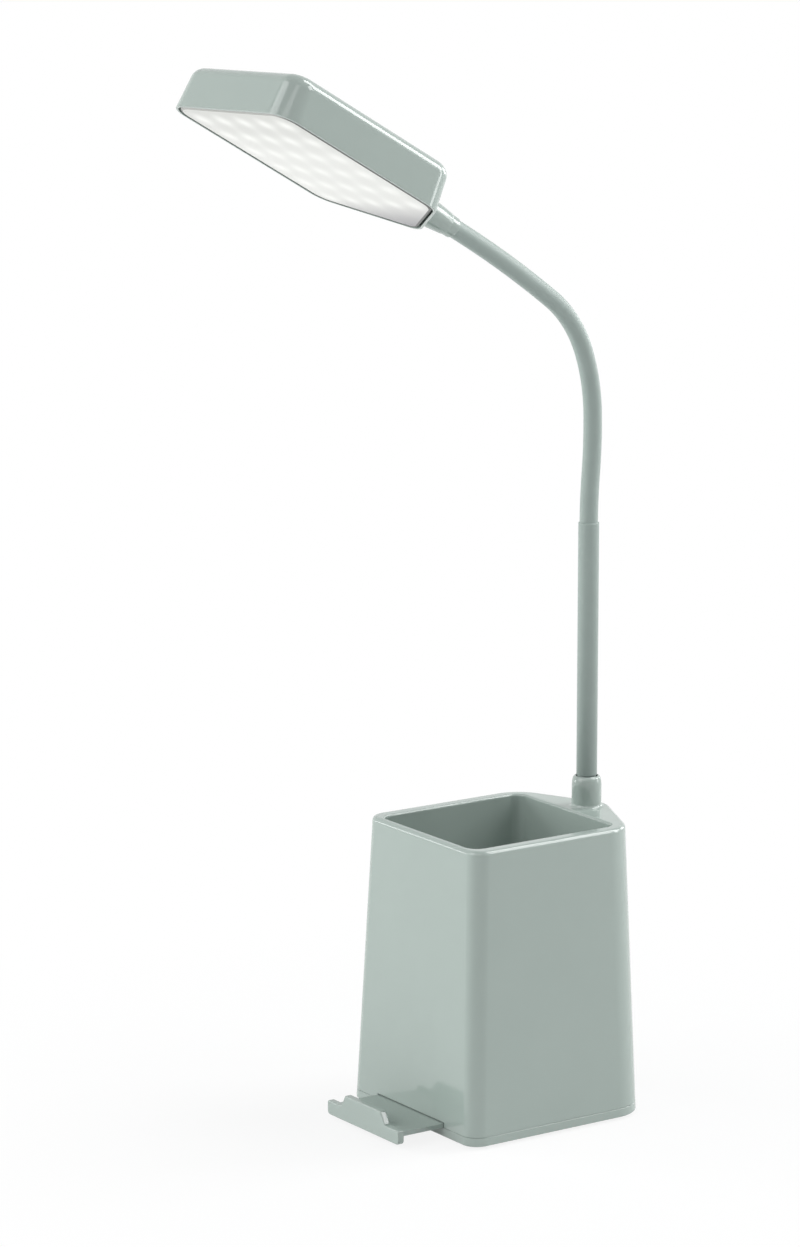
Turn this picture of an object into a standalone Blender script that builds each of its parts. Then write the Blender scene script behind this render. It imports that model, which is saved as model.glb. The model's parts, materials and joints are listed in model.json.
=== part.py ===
"""Table lamp with a pen cup, a pull-out phone tray and a bendable neck, in metres, +Z up.

The desk is z = 0. X is the lamp's width, -Y its front, and the origin lies under the middle
of the pen cup. Each sub-part is one object; the neck is a chain of empties, one on each of
its bending stations, and the head hangs on the last of them.
"""
import math

import bmesh
import bpy
from mathutils import Matrix, Vector

# Clearances that all pieces share
SEAT_GAP = 0.0003
SLIDE_GAP = 0.0004
OVERRUN = 0.002
SHARP_R = 0.0002
MERGE = 0.00001

# Base housing: a five-sided body, wider at the foot, with its point at the back
DECK_Z = 0.122
BASE_FOOT_Z = 0.001
PARTING_Z = 0.0045
HALF_WIDTH = 0.0392
FRONT_DEPTH = 0.0384
SHOULDER_DEPTH = 0.0383
APEX_DEPTH = 0.0563
BASE_FLARE = 0.0050
FRONT_CORNER_R = 0.007
SHOULDER_R = 0.016
APEX_R = 0.0098
RIM_R = 0.0018
FOOT_R = 0.0007
BASE_WALL = 0.0022
ROOF = 0.0024
SOLID_RIM = 0.026

# Pen cup moulded into the housing: how far it stays from the front, the sides and the neck
CUP_TO_FRONT = 0.0029
CUP_TO_SIDE = 0.0059
CUP_TO_NECK = 0.010
CUP_TO_REAR = 0.0055
CUP_TO_CELL = 0.0009
CUP_CORNER_R = 0.005
CUP_WALL = 0.0018
CUP_DRAFT = 0.0012
CUP_LIP_R = 0.001
CUP_FLOOR_R = 0.002

# Pocket behind the cup, for the foot of the neck
POCKET_TO_CUP_SIDE = 0.0053
POCKET_SIDE_R = 0.0015
POCKET_APEX_R = 0.005
POCKET_WALL_EXTRA = 0.0005

# Bottom cover, its screws and the desk pad under it
COVER_PLATE = 0.002
COVER_RIM = 0.0022
PAD_INSET = 0.008
PAD_THICK = 0.0013
PAD_RECESS = 0.0006
POST_R = 0.0032
POST_TO_CUP_SIDE = 0.0018
POST_TO_CUP_FRONT = 0.002
POST_TO_CUP_REAR = 0.004
SCREW_R = 0.0013
SCREW_HEAD_R = 0.0024
SCREW_HEAD = 0.0012
COVER_SCREW_LENGTH = 0.011
SCREW_WEB = 0.0008

# Phone tray with its stepped lip
LIP_OVERHANG = 0.00215
LIP_THICK = 0.003
LIP_BOTTOM_Z = 0.002
LIP_SHOULDER_Z = 0.008
LIP_TAB_Z = 0.0131
TAB_TOP_HALF = 0.0128
TAB_FOOT_HALF = 0.0158
LIP_FOOT_R = 0.002
LIP_CORNER_R = 0.0011
LIP_EDGE_R = 0.0006
TRAY_THICK = 0.0018
TRAY_LENGTH = 0.0525
TRAY_TRAVEL = 0.020
TRAY_CLOSED_GAP = 0.0005
EAR_WIDTH = 0.0023
EAR_LENGTH = 0.004

# Carrier that guides the tray and cradles the cell
RAIL_THICK = 0.0016
RAIL_TO_POST = 0.0004
CARRIER_DECK = 0.0016
CARRIER_TO_FRONT = 0.0009
CARRIER_REAR_Y = 0.0105
CARRIER_FOOT_Y = 0.0160
CARRIER_SCREW_TO_RAIL = 0.0063
CARRIER_SCREW_LENGTH = 0.0055
STOP_CLEARANCE = 0.0005
STOP_LENGTH = 0.0016
RUNNER_X = 0.015
RUNNER_WIDTH = 0.002
CELL_R = 0.0092
CELL_HALF_LENGTH = 0.0325
CELL_TO_CUP_FRONT = 0.0175
CELL_CAP_R = 0.0029
CELL_CAP = 0.0012
CELL_EDGE_R = 0.0007
SADDLE_X = 0.022
SADDLE_THICK = 0.003
SADDLE_HALF_DEPTH = 0.0108
SADDLE_HEIGHT = 0.006

# Counterweight at the back of the floor
WEIGHT_TO_POST = 0.0008
WEIGHT_TO_CARRIER = 0.0025
WEIGHT_PAST_SHOULDER = 0.0012
WEIGHT_TO_APEX = 0.0063
WEIGHT_THICK = 0.0066
WEIGHT_CORNER_R = 0.003

# Control board along the left rear wall, with its socket, switch and button
BOARD_LENGTH = 0.026
BOARD_DEPTH = 0.015
BOARD_THICK = 0.0012
BOARD_TO_WEIGHT = 0.0013
BOARD_TO_WALL = 0.0021
BOARD_SHIFT = 0.0025
STANDOFF_R = 0.0024
STANDOFF_SPAN = 0.0075
STANDOFF_IN = 0.0035
BOARD_SCREW_LENGTH = 0.0055
SOCKET_WIDTH = 0.0089
SOCKET_HEIGHT = 0.0032
SOCKET_DEPTH = 0.0073
SOCKET_SHELL = 0.0003
SOCKET_ALONG = -0.0060
SOCKET_TONGUE = 0.0007
PORT_CLEARANCE = 0.0004
SWITCH_SIZE = 0.0060
SWITCH_HEIGHT = 0.0036
SWITCH_DEPTH = 0.0036
SWITCH_ALONG = 0.0062
SWITCH_FROM_EDGE = 0.0008
PLUNGER_R = 0.0010
PLUNGER_LENGTH = 0.0008
BUTTON_R = 0.0040
BUTTON_PROUD = 0.0012
BUTTON_FLANGE_R = 0.0047
BUTTON_FLANGE = 0.0008
BUTTON_EDGE_R = 0.0006
BUTTON_TRAVEL = 0.0006
BUTTON_STEM_R = 0.0012
BUTTON_PLAY = 0.0001

# Neck: a straight stem, then a sleeve over a core that bends at seven stations
NECK_TO_APEX = 0.0108
NECK_YAW = math.radians(4.0)
BOSS_HEIGHT = 0.013
BOSS_R = 0.0062
BOSS_TOP_R = 0.0052
BOSS_SHOULDER = 0.0045
BOSS_FOOT_R = 0.0014
BOSS_SINK = 0.001
STEM_R = 0.0035
STEM_BORE_R = 0.0022
STEM_FLANGE_R = 0.0043
STEM_FLANGE = 0.0016
STEM_SLEEVE_R = 0.0043
STEM_TAIL = 0.015
STEM_RISE = 0.1196
SOCKET_DEPTH_TOP = 0.010
NUT_FLATS = 0.0112
NUT_HEIGHT = 0.0045
WASHER_R = 0.0056
WASHER_THICK = 0.0009
SLEEVE_R = 0.0038
SLEEVE_WALL = 0.0010
CORE_R = 0.0025
# The curve of the bendable part at rest: length of each arc and the turn along it
NECK_ARCS = (
    (0.0200, math.radians(-4.9)),
    (0.0250, math.radians(6.4)),
    (0.0260, math.radians(18.9)),
    (0.0300, math.radians(33.75)),
    (0.0605, math.radians(6.65)),
)
STATION_COUNT = 7
FIRST_STATION = 0.0150
LAST_SEGMENT = 0.0235
STATION_BEND = math.radians(18)
BEND_GAP = 0.0001
NECK_SIDES = 16
CORE_SIDES = 10
RING_PITCH = 0.0045
DOME_STEPS = 3

# Head: a flat housing with a straight front and a pointed back, where the neck enters
HEAD_HALF_WIDTH = 0.0365
HEAD_LENGTH = 0.085
HEAD_POINT = 0.0244
HEAD_HEIGHT = 0.0186
HEAD_DRAFT = 0.0013
HEAD_FRONT_R = 0.010
HEAD_SHOULDER_R = 0.011
HEAD_APEX_R = 0.0076
HEAD_EDGE_R = 0.0049
HEAD_WALL = 0.0018
HEAD_ROOF = 0.0020
HEAD_AXIS_Z = 0.0082
HEAD_ROLL = math.radians(1.8)
REBATE_DEPTH = 0.0034
REBATE_WALL = 0.0011
PAD_BLOCK_Y = 0.0085
PAD_BLOCK_HALF = 0.0072

# Collar and nut that hold the neck in the head
COLLAR_LENGTH = 0.0144
COLLAR_ROOT_R = 0.0055
COLLAR_WAIST_R = 0.00475
COLLAR_RING_R = 0.0044
COLLAR_TIP_R = 0.0042
COLLAR_FLARE = 0.0025
COLLAR_WAIST = 0.010
COLLAR_EDGE = 0.0006
SPIGOT_R = 0.0038
COLLAR_NUT_FLATS = 0.0110
COLLAR_NUT = 0.0035
CORE_IN_HEAD = 0.0050

# Diffuser, light board and light chips
DIFFUSER_GAP = 0.0006
DIFFUSER_WALL = 0.0013
DIFFUSER_DOME = 0.0008
DIFFUSER_EDGE_R = 0.0012
LIGHT_BOARD_INSET = 0.0055
LIGHT_BOARD_R = 0.003
LIGHT_BOARD_THICK = 0.0012
LIGHT_BOARD_Z = 0.0092
LIGHT_BOARD_PAST_SHOULDER = 0.0044
CHIP_COLUMNS = 5
CHIP_ROWS = 6
CHIP_SIDE = 0.0107
CHIP_FRONT = 0.0115
CHIP_REAR = 0.003
CHIP_WIDTH = 0.0028
CHIP_LENGTH = 0.0035
CHIP_HEIGHT = 0.0007
HEAD_POST_R = 0.0028
HEAD_SCREW_TIP_GAP = 0.0016

# Leads inside the housings
LEAD_R = 0.0008
LEAD_SLACK = 0.003

# Counts of facets
CORNER_STEPS = 5
FILLET_STEPS = 3
ROUND_STEPS = 24
SMALL_STEPS = 12

# Heights that follow from the sizes above
SHELL_FOOT_Z = PARTING_Z + SEAT_GAP
TRAY_Z = PARTING_Z + SEAT_GAP
CARRIER_Z = TRAY_Z + TRAY_THICK + SLIDE_GAP
CARRIER_TOP_Z = CARRIER_Z + CARRIER_DECK
CELL_Z = CARRIER_TOP_Z + SEAT_GAP + CELL_R
CUP_FLOOR_Z = CELL_Z + CELL_R + CUP_TO_CELL + CUP_WALL
CAVITY_TOP_Z = DECK_Z - SOLID_RIM
COVER_TOP_Z = BASE_FOOT_Z + COVER_PLATE
WEIGHT_Z = COVER_TOP_Z + SEAT_GAP
BOARD_Z = WEIGHT_Z + WEIGHT_THICK + BOARD_TO_WEIGHT
BOARD_TOP_Z = BOARD_Z + BOARD_THICK
STEM_FOOT_Z = DECK_Z - STEM_TAIL
STEM_TOP_Z = DECK_Z + STEM_RISE
SCREW_HOLE_R = SCREW_R + SEAT_GAP

# Places in the base: the neck keeps to its point, and the cup to the neck and the walls
NECK_Y = APEX_DEPTH - NECK_TO_APEX
CUP_HALF_WIDTH = HALF_WIDTH - CUP_TO_SIDE
POINT_AT_CUP_SIDE = (APEX_DEPTH - SHOULDER_DEPTH) * CUP_HALF_WIDTH / HALF_WIDTH
CUP_REAR = min(NECK_Y - CUP_TO_NECK, APEX_DEPTH - POINT_AT_CUP_SIDE - CUP_TO_REAR)
CUP_FRONT = FRONT_DEPTH - CUP_TO_FRONT
CUP_HALF_DEPTH = (CUP_FRONT + CUP_REAR) / 2
CUP_MIDDLE_Y = (CUP_REAR - CUP_FRONT) / 2
POCKET_HALF_WIDTH = CUP_HALF_WIDTH - POCKET_TO_CUP_SIDE
POST_X = CUP_HALF_WIDTH - POST_TO_CUP_SIDE
POST_FRONT_Y = CUP_FRONT - POST_TO_CUP_FRONT
POST_REAR_Y = CUP_REAR - POST_TO_CUP_REAR
EAR_HALF_WIDTH = POST_X - POST_R - RAIL_TO_POST - RAIL_THICK - SLIDE_GAP
CARRIER_SCREW_X = EAR_HALF_WIDTH + SLIDE_GAP - CARRIER_SCREW_TO_RAIL
TRAY_HALF_WIDTH = EAR_HALF_WIDTH - EAR_WIDTH
LIP_HALF_WIDTH = TRAY_HALF_WIDTH + LIP_OVERHANG
LIP_FRONT_Y = FRONT_DEPTH + BASE_FLARE + TRAY_CLOSED_GAP + TRAY_TRAVEL + LIP_THICK
STOP_HALF_WIDTH = TRAY_HALF_WIDTH + STOP_CLEARANCE
CARRIER_FRONT_Y = FRONT_DEPTH - CARRIER_TO_FRONT
CELL_Y = CUP_FRONT - CELL_TO_CUP_FRONT
WEIGHT_HALF_WIDTH = POST_X - POST_R - WEIGHT_TO_POST
WEIGHT_FRONT_Y = CARRIER_FOOT_Y + WEIGHT_TO_CARRIER
WEIGHT_SIDE_Y = SHOULDER_DEPTH + WEIGHT_PAST_SHOULDER
WEIGHT_APEX_Y = APEX_DEPTH - WEIGHT_TO_APEX

# Places in the neck and the head
NECK_LENGTH = sum(arc for arc, _ in NECK_ARCS)
STATION_PITCH = (NECK_LENGTH - FIRST_STATION - LAST_SEGMENT) / (STATION_COUNT - 1)
CHIP_PITCH_X = 2 * (HEAD_HALF_WIDTH - CHIP_SIDE) / (CHIP_COLUMNS - 1)
CHIP_PITCH_Y = (HEAD_LENGTH - CHIP_FRONT - CHIP_REAR) / (CHIP_ROWS - 1)
LIGHT_BOARD_BACK = HEAD_POINT - LIGHT_BOARD_PAST_SHOULDER
HEAD_SCREW_LENGTH = HEAD_HEIGHT - HEAD_ROOF - LIGHT_BOARD_Z - HEAD_SCREW_TIP_GAP

COLOURS = {
    "sage plastic": ((0.40, 0.47, 0.44), 0.28, 0.0),
    "sage silicone": ((0.30, 0.37, 0.35), 0.55, 0.0),
    "dark rubber": ((0.03, 0.03, 0.03), 0.9, 0.0),
    "white plastic": ((0.80, 0.80, 0.78), 0.5, 0.0),
    "diffuser": ((0.92, 0.92, 0.90), 0.35, 0.0),
    "steel": ((0.55, 0.55, 0.56), 0.35, 1.0),
    "board": ((0.03, 0.16, 0.07), 0.5, 0.0),
    "aluminium board": ((0.85, 0.85, 0.83), 0.45, 0.0),
    "cell wrap": ((0.06, 0.16, 0.42), 0.35, 0.0),
    "wire": ((0.55, 0.04, 0.03), 0.5, 0.0),
    "switch": ((0.05, 0.05, 0.055), 0.45, 0.0),
}


def clear_scene():
    for item in list(bpy.data.objects):
        bpy.data.objects.remove(item, do_unlink=True)


def collection(name):
    group = bpy.data.collections.new(name)
    bpy.context.scene.collection.children.link(group)
    return group


clear_scene()
LAMP = collection("led_table_lamp")
CUTTERS = collection("cutters")


def material(name):
    found = bpy.data.materials.get(name)
    if found:
        return found
    colour, roughness, metallic = COLOURS[name]
    made = bpy.data.materials.new(name)
    made.use_nodes = True
    shader = made.node_tree.nodes["Principled BSDF"]
    shader.inputs["Base Color"].default_value = (*colour, 1.0)
    shader.inputs["Roughness"].default_value = roughness
    shader.inputs["Metallic"].default_value = metallic
    return made


def add_object(name, data, finish=None, parent=None):
    """A lamp piece when it has a finish, and a cutter when it has none."""
    item = bpy.data.objects.new(name, data)
    if finish:
        LAMP.objects.link(item)
        data.materials.append(material(finish))
    else:
        CUTTERS.objects.link(item)
        item.hide_render = True
        item.display_type = "WIRE"
    item.parent = parent
    return item


def mesh_object(name, bm, finish=None, parent=None, smooth=True):
    data = bpy.data.meshes.new(name)
    bmesh.ops.recalc_face_normals(bm, faces=bm.faces)
    bm.to_mesh(data)
    bm.free()
    if smooth:
        data.shade_smooth()
        data.set_sharp_from_angle(angle=math.radians(35))
    return add_object(name, data, finish, parent)


def frame(name, parent=None, location=(0, 0, 0), tilt=0.0, turn=0.0, roll=0.0):
    """An empty that carries pieces: it leans about X and turns about Z."""
    empty = bpy.data.objects.new(name, None)
    LAMP.objects.link(empty)
    empty.parent = parent
    empty.rotation_mode = "YXZ"
    empty.location = location
    empty.rotation_euler = (tilt, roll, turn)
    return empty


def boolean(item, tool, operation="DIFFERENCE"):
    step = item.modifiers.new(operation.lower() + " " + tool.name, "BOOLEAN")
    step.operation = operation
    step.object = tool
    return step


def moved_outline(corners, outward):
    """Corner points moved square to both of their edges; the list runs anticlockwise."""
    points = [Vector(corner[:2]) for corner in corners]
    count = len(points)
    result = []
    for index, point in enumerate(points):
        along_before = (point - points[index - 1]).normalized()
        along_after = (points[(index + 1) % count] - point).normalized()
        normal_before = Vector((along_before.y, -along_before.x))
        normal_after = Vector((along_after.y, -along_after.x))
        shift = (normal_before + normal_after) * outward / (1 + normal_before.dot(normal_after))
        result.append(point + shift)
    return result


def inset(corners, depth):
    """The outline moved inwards, with corner radii that shrink or grow with it."""
    points = moved_outline(corners, -depth)
    return [
        (point.x, point.y, max(corner[2] - depth, SHARP_R))
        for point, corner in zip(points, corners)
    ]


def spread(corners, outward):
    """The outline moved outwards, with its corner radii kept."""
    points = moved_outline(corners, outward)
    return [(point.x, point.y, corner[2]) for point, corner in zip(points, corners)]


def rounded(corners, steps=CORNER_STEPS):
    """Points round an anticlockwise outline, with an arc at each (x, y, radius) corner."""
    points = []
    count = len(corners)
    for index, (x, y, radius) in enumerate(corners):
        here = Vector((x, y))
        before = (Vector(corners[index - 1][:2]) - here).normalized()
        after = (Vector(corners[(index + 1) % count][:2]) - here).normalized()
        half = before.angle(after) / 2
        centre = here + (before + after).normalized() * (radius / math.sin(half))
        first = here + before * (radius / math.tan(half)) - centre
        start = math.atan2(first.y, first.x)
        turn = math.copysign(math.pi - 2 * half, after.cross(before))
        for step in range(steps + 1):
            angle = start + turn * step / steps
            points.append(
                (centre.x + radius * math.cos(angle), centre.y + radius * math.sin(angle))
            )
    return points


def rectangle(half_x, half_y, radius, centre=(0, 0)):
    x, y = centre
    return [
        (x + half_x, y - half_y, radius),
        (x + half_x, y + half_y, radius),
        (x - half_x, y + half_y, radius),
        (x - half_x, y - half_y, radius),
    ]


def loft(name, sections, finish=None, parent=None):
    """A closed body through outlines of equal point counts, given from low to high."""
    bm = bmesh.new()
    rings = []
    for outline, height in sections:
        rings.append([bm.verts.new((x, y, height)) for x, y in outline])
    count = len(rings[0])
    for lower, upper in zip(rings, rings[1:]):
        for index in range(count):
            following = (index + 1) % count
            bm.faces.new((lower[index], lower[following], upper[following], upper[index]))
    bm.faces.new(rings[0][::-1])
    bm.faces.new(rings[-1])
    return mesh_object(name, bm, finish, parent)


def box(name, low, high, finish=None, parent=None, matrix=None):
    bm = bmesh.new()
    low = Vector(low)
    high = Vector(high)
    size = high - low
    place = Matrix.Translation((low + high) / 2) @ Matrix.Diagonal((*size, 1))
    bmesh.ops.create_cube(bm, size=1, matrix=place)
    if matrix:
        bm.transform(matrix)
    return mesh_object(name, bm, finish, parent, smooth=False)


def rod(name, radius, low, high, place=(0, 0), steps=SMALL_STEPS, finish=None, parent=None):
    """An upright cylinder from height low to height high."""
    bm = bmesh.new()
    centre = Matrix.Translation((place[0], place[1], (low + high) / 2))
    bmesh.ops.create_cone(
        bm, cap_ends=True, segments=steps, radius1=radius, radius2=radius,
        depth=high - low, matrix=centre,
    )
    return mesh_object(name, bm, finish, parent)


def turned(name, profile, finish=None, parent=None, steps=ROUND_STEPS, closed=False):
    """A profile of (radius, height) points, from the top down its outer side, turned round Z."""
    data = bpy.data.meshes.new(name)
    points = [(radius, 0, height) for radius, height in profile]
    edges = [(index, index + 1) for index in range(len(points) - 1)]
    if closed:
        edges.append((len(points) - 1, 0))
    data.from_pydata(points, edges, [])
    item = add_object(name, data, finish, parent)
    screw = item.modifiers.new("turn", "SCREW")
    screw.axis = "Z"
    screw.steps = steps
    screw.render_steps = steps
    screw.use_merge_vertices = True
    screw.merge_threshold = MERGE
    screw.use_smooth_shade = True
    return item


def evaluated_mesh(item):
    graph = bpy.context.evaluated_depsgraph_get()
    return bpy.data.meshes.new_from_object(item.evaluated_get(graph))


def fillet_steps(count=FILLET_STEPS):
    """Sine and one minus cosine, from the start to the end of a quarter round."""
    for step in range(count + 1):
        angle = math.pi / 2 * step / count
        yield math.sin(angle), 1 - math.cos(angle)


def base_corners(height, depth=0.0):
    """The base's outline at a height, moved in by a depth."""
    corners = [
        (HALF_WIDTH, -FRONT_DEPTH, FRONT_CORNER_R),
        (HALF_WIDTH, SHOULDER_DEPTH, SHOULDER_R),
        (0, APEX_DEPTH, APEX_R),
        (-HALF_WIDTH, SHOULDER_DEPTH, SHOULDER_R),
        (-HALF_WIDTH, -FRONT_DEPTH, FRONT_CORNER_R),
    ]
    return inset(spread(corners, BASE_FLARE * (1 - height / DECK_Z)), depth)


def base_outline(height, depth=0.0):
    return rounded(base_corners(height, depth))


def cup_outline(height, outward=0.0):
    """The cup's inner outline, which narrows a little towards its floor."""
    share = (DECK_Z - height) / (DECK_Z - CUP_FLOOR_Z)
    grow = outward - CUP_DRAFT * share
    half_x = CUP_HALF_WIDTH + grow
    half_y = CUP_HALF_DEPTH + grow
    radius = max(CUP_CORNER_R + grow, SHARP_R)
    return rounded(rectangle(half_x, half_y, radius, (0, CUP_MIDDLE_Y)))


def rear_wall():
    """Mid point, inward normal and turn of the left rear wall's outer face at board height."""
    corners = base_corners(BOARD_TOP_Z)
    shoulder = Vector(corners[3][:2])
    apex = Vector(corners[2][:2])
    along = (apex - shoulder).normalized()
    inward = Vector((along.y, -along.x))
    return (shoulder + apex) / 2, inward, math.atan2(along.y, along.x)


def make_base_shell():
    sections = [(base_outline(SHELL_FOOT_Z), SHELL_FOOT_Z)]
    for rise, draw_in in fillet_steps():
        height = DECK_Z - RIM_R + RIM_R * rise
        sections.append((base_outline(height, RIM_R * draw_in), height))
    shell = loft("base_shell", sections, "sage plastic")

    low = SHELL_FOOT_Z - OVERRUN
    cavity = loft("cavity", [
        (base_outline(low, BASE_WALL), low),
        (base_outline(CAVITY_TOP_Z, BASE_WALL), CAVITY_TOP_Z),
    ])
    boolean(shell, cavity)
    boolean(shell, loft("pocket", pocket_sections()))
    boolean(shell, turned("boss", boss_profile()), "UNION")
    bpy.data.objects["boss"].location = (0, NECK_Y, 0)

    tub_foot = CUP_FLOOR_Z - CUP_WALL
    tub_top = DECK_Z - RIM_R - OVERRUN
    tub = loft("tub", [
        (cup_outline(tub_foot, CUP_WALL), tub_foot),
        (cup_outline(tub_top, CUP_WALL), tub_top),
    ])
    boolean(shell, tub, "UNION")
    for name, x, y in post_places():
        post = rod("post " + name, POST_R, SHELL_FOOT_Z, CUP_FLOOR_Z - CUP_WALL / 2, (x, y))
        boolean(shell, post, "UNION")
    boolean(shell, loft("cup", cup_sections()))

    boss_top = DECK_Z + BOSS_HEIGHT + OVERRUN
    hole_foot = DECK_Z - ROOF - OVERRUN
    bore = turned("neck bore", [
        (0, boss_top),
        (STEM_SLEEVE_R + SEAT_GAP, boss_top),
        (STEM_SLEEVE_R + SEAT_GAP, DECK_Z),
        (STEM_R + SEAT_GAP, DECK_Z),
        (STEM_R + SEAT_GAP, hole_foot),
        (0, hole_foot),
    ])
    bore.location = (0, NECK_Y, 0)
    bore.rotation_euler = (0, 0, math.pi / ROUND_STEPS)
    boolean(shell, bore)
    notch_half = TRAY_HALF_WIDTH + SLIDE_GAP
    notch_top = TRAY_Z + TRAY_THICK + SLIDE_GAP
    notch = box("tray notch", (-notch_half, -LIP_FRONT_Y, low),
                (notch_half, -FRONT_DEPTH + BASE_WALL, notch_top))
    boolean(shell, notch)
    for name, x, y in post_places():
        depth = BASE_FOOT_Z + COVER_SCREW_LENGTH + OVERRUN
        boolean(shell, rod("pilot " + name, SCREW_HOLE_R, low, depth, (x, y)))

    wall_frame = bpy.data.objects["rear_wall_frame"]
    port_z = BOARD_TOP_Z + SEAT_GAP + SOCKET_HEIGHT / 2
    half_x = SOCKET_WIDTH / 2 + PORT_CLEARANCE
    half_z = SOCKET_HEIGHT / 2 + PORT_CLEARANCE
    port = loft("port", [
        (rounded(rectangle(half_x, half_z, half_z - SHARP_R)), -OVERRUN - BASE_WALL),
        (rounded(rectangle(half_x, half_z, half_z - SHARP_R)), OVERRUN + BASE_WALL),
    ], parent=wall_frame)
    port.rotation_euler = (math.pi / 2, 0, 0)
    port.location = (SOCKET_ALONG, 0, port_z)
    boolean(shell, port)
    hole = rod("button hole", BUTTON_R + SLIDE_GAP, -OVERRUN - BASE_WALL, OVERRUN + BASE_WALL,
               steps=ROUND_STEPS, parent=wall_frame)
    hole.rotation_euler = (math.pi / 2, 0, 0)
    hole.location = (SWITCH_ALONG, 0, button_height())
    boolean(shell, hole)
    return shell


def pocket_sections():
    """The hollow behind the cup: a flat front and a back that follows the housing's walls."""
    front = CUP_REAR + CUP_WALL + POCKET_WALL_EXTRA
    sections = []
    for height in (CAVITY_TOP_Z - OVERRUN, DECK_Z - ROOF):
        corners = base_corners(height, BASE_WALL + POCKET_WALL_EXTRA)
        shoulder_x, shoulder_y, _ = corners[1]
        apex_y = corners[2][1]
        slope = (apex_y - shoulder_y) / shoulder_x
        side_y = apex_y - slope * POCKET_HALF_WIDTH
        outline = [
            (POCKET_HALF_WIDTH, front, SHARP_R),
            (POCKET_HALF_WIDTH, side_y, POCKET_SIDE_R),
            (0, apex_y, POCKET_APEX_R),
            (-POCKET_HALF_WIDTH, side_y, POCKET_SIDE_R),
            (-POCKET_HALF_WIDTH, front, SHARP_R),
        ]
        sections.append((rounded(outline), height))
    return sections


def boss_profile():
    """The raised collar round the neck's foot, with a rounded shoulder and a filleted foot."""
    top = DECK_Z + BOSS_HEIGHT
    profile = [(0, top), (BOSS_TOP_R, top)]
    for rise, draw_in in reversed(list(fillet_steps())):
        radius = BOSS_R - (BOSS_R - BOSS_TOP_R) * draw_in
        profile.append((radius, top - BOSS_SHOULDER * (1 - rise)))
    for rise, draw_in in reversed(list(fillet_steps())):
        profile.append((BOSS_R + BOSS_FOOT_R * (1 - rise), DECK_Z + BOSS_FOOT_R * draw_in))
    profile.append((BOSS_R + BOSS_FOOT_R, DECK_Z - BOSS_SINK))
    profile.append((0, DECK_Z - BOSS_SINK))
    return drop_repeats(profile)


def drop_repeats(profile):
    """A profile without the points that lie on top of the one before."""
    kept = [profile[0]]
    for point in profile[1:]:
        if math.dist(point, kept[-1]) > MERGE:
            kept.append(point)
    return kept


def cup_sections():
    """The cup's hollow: a rounded floor edge, drafted walls and a rounded lip."""
    sections = []
    for rise, draw_in in reversed(list(fillet_steps())):
        height = CUP_FLOOR_Z + CUP_FLOOR_R * (1 - rise)
        sections.append((cup_outline(height, -CUP_FLOOR_R * draw_in), height))
    for rise, draw_in in fillet_steps():
        height = DECK_Z - CUP_LIP_R + CUP_LIP_R * rise
        sections.append((cup_outline(height, CUP_LIP_R * draw_in), height))
    above = DECK_Z + OVERRUN
    sections.append((cup_outline(DECK_Z, CUP_LIP_R), above))
    return sections


def post_places():
    return [
        ("front right", POST_X, -POST_FRONT_Y),
        ("front left", -POST_X, -POST_FRONT_Y),
        ("rear right", POST_X, POST_REAR_Y),
        ("rear left", -POST_X, POST_REAR_Y),
    ]


def button_height():
    return BOARD_TOP_Z + SEAT_GAP + SWITCH_HEIGHT / 2


def standoff_places():
    """Where the board's two screws stand, in base coordinates."""
    wall = bpy.data.objects["rear_wall_frame"].matrix_world
    edge = -BASE_WALL - BOARD_TO_WALL
    inner = edge - BOARD_DEPTH + STANDOFF_IN
    return [
        tuple((wall @ Vector((BOARD_SHIFT + side * STANDOFF_SPAN, inner, 0))).xy)
        for side in (-1, 1)
    ]


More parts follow.
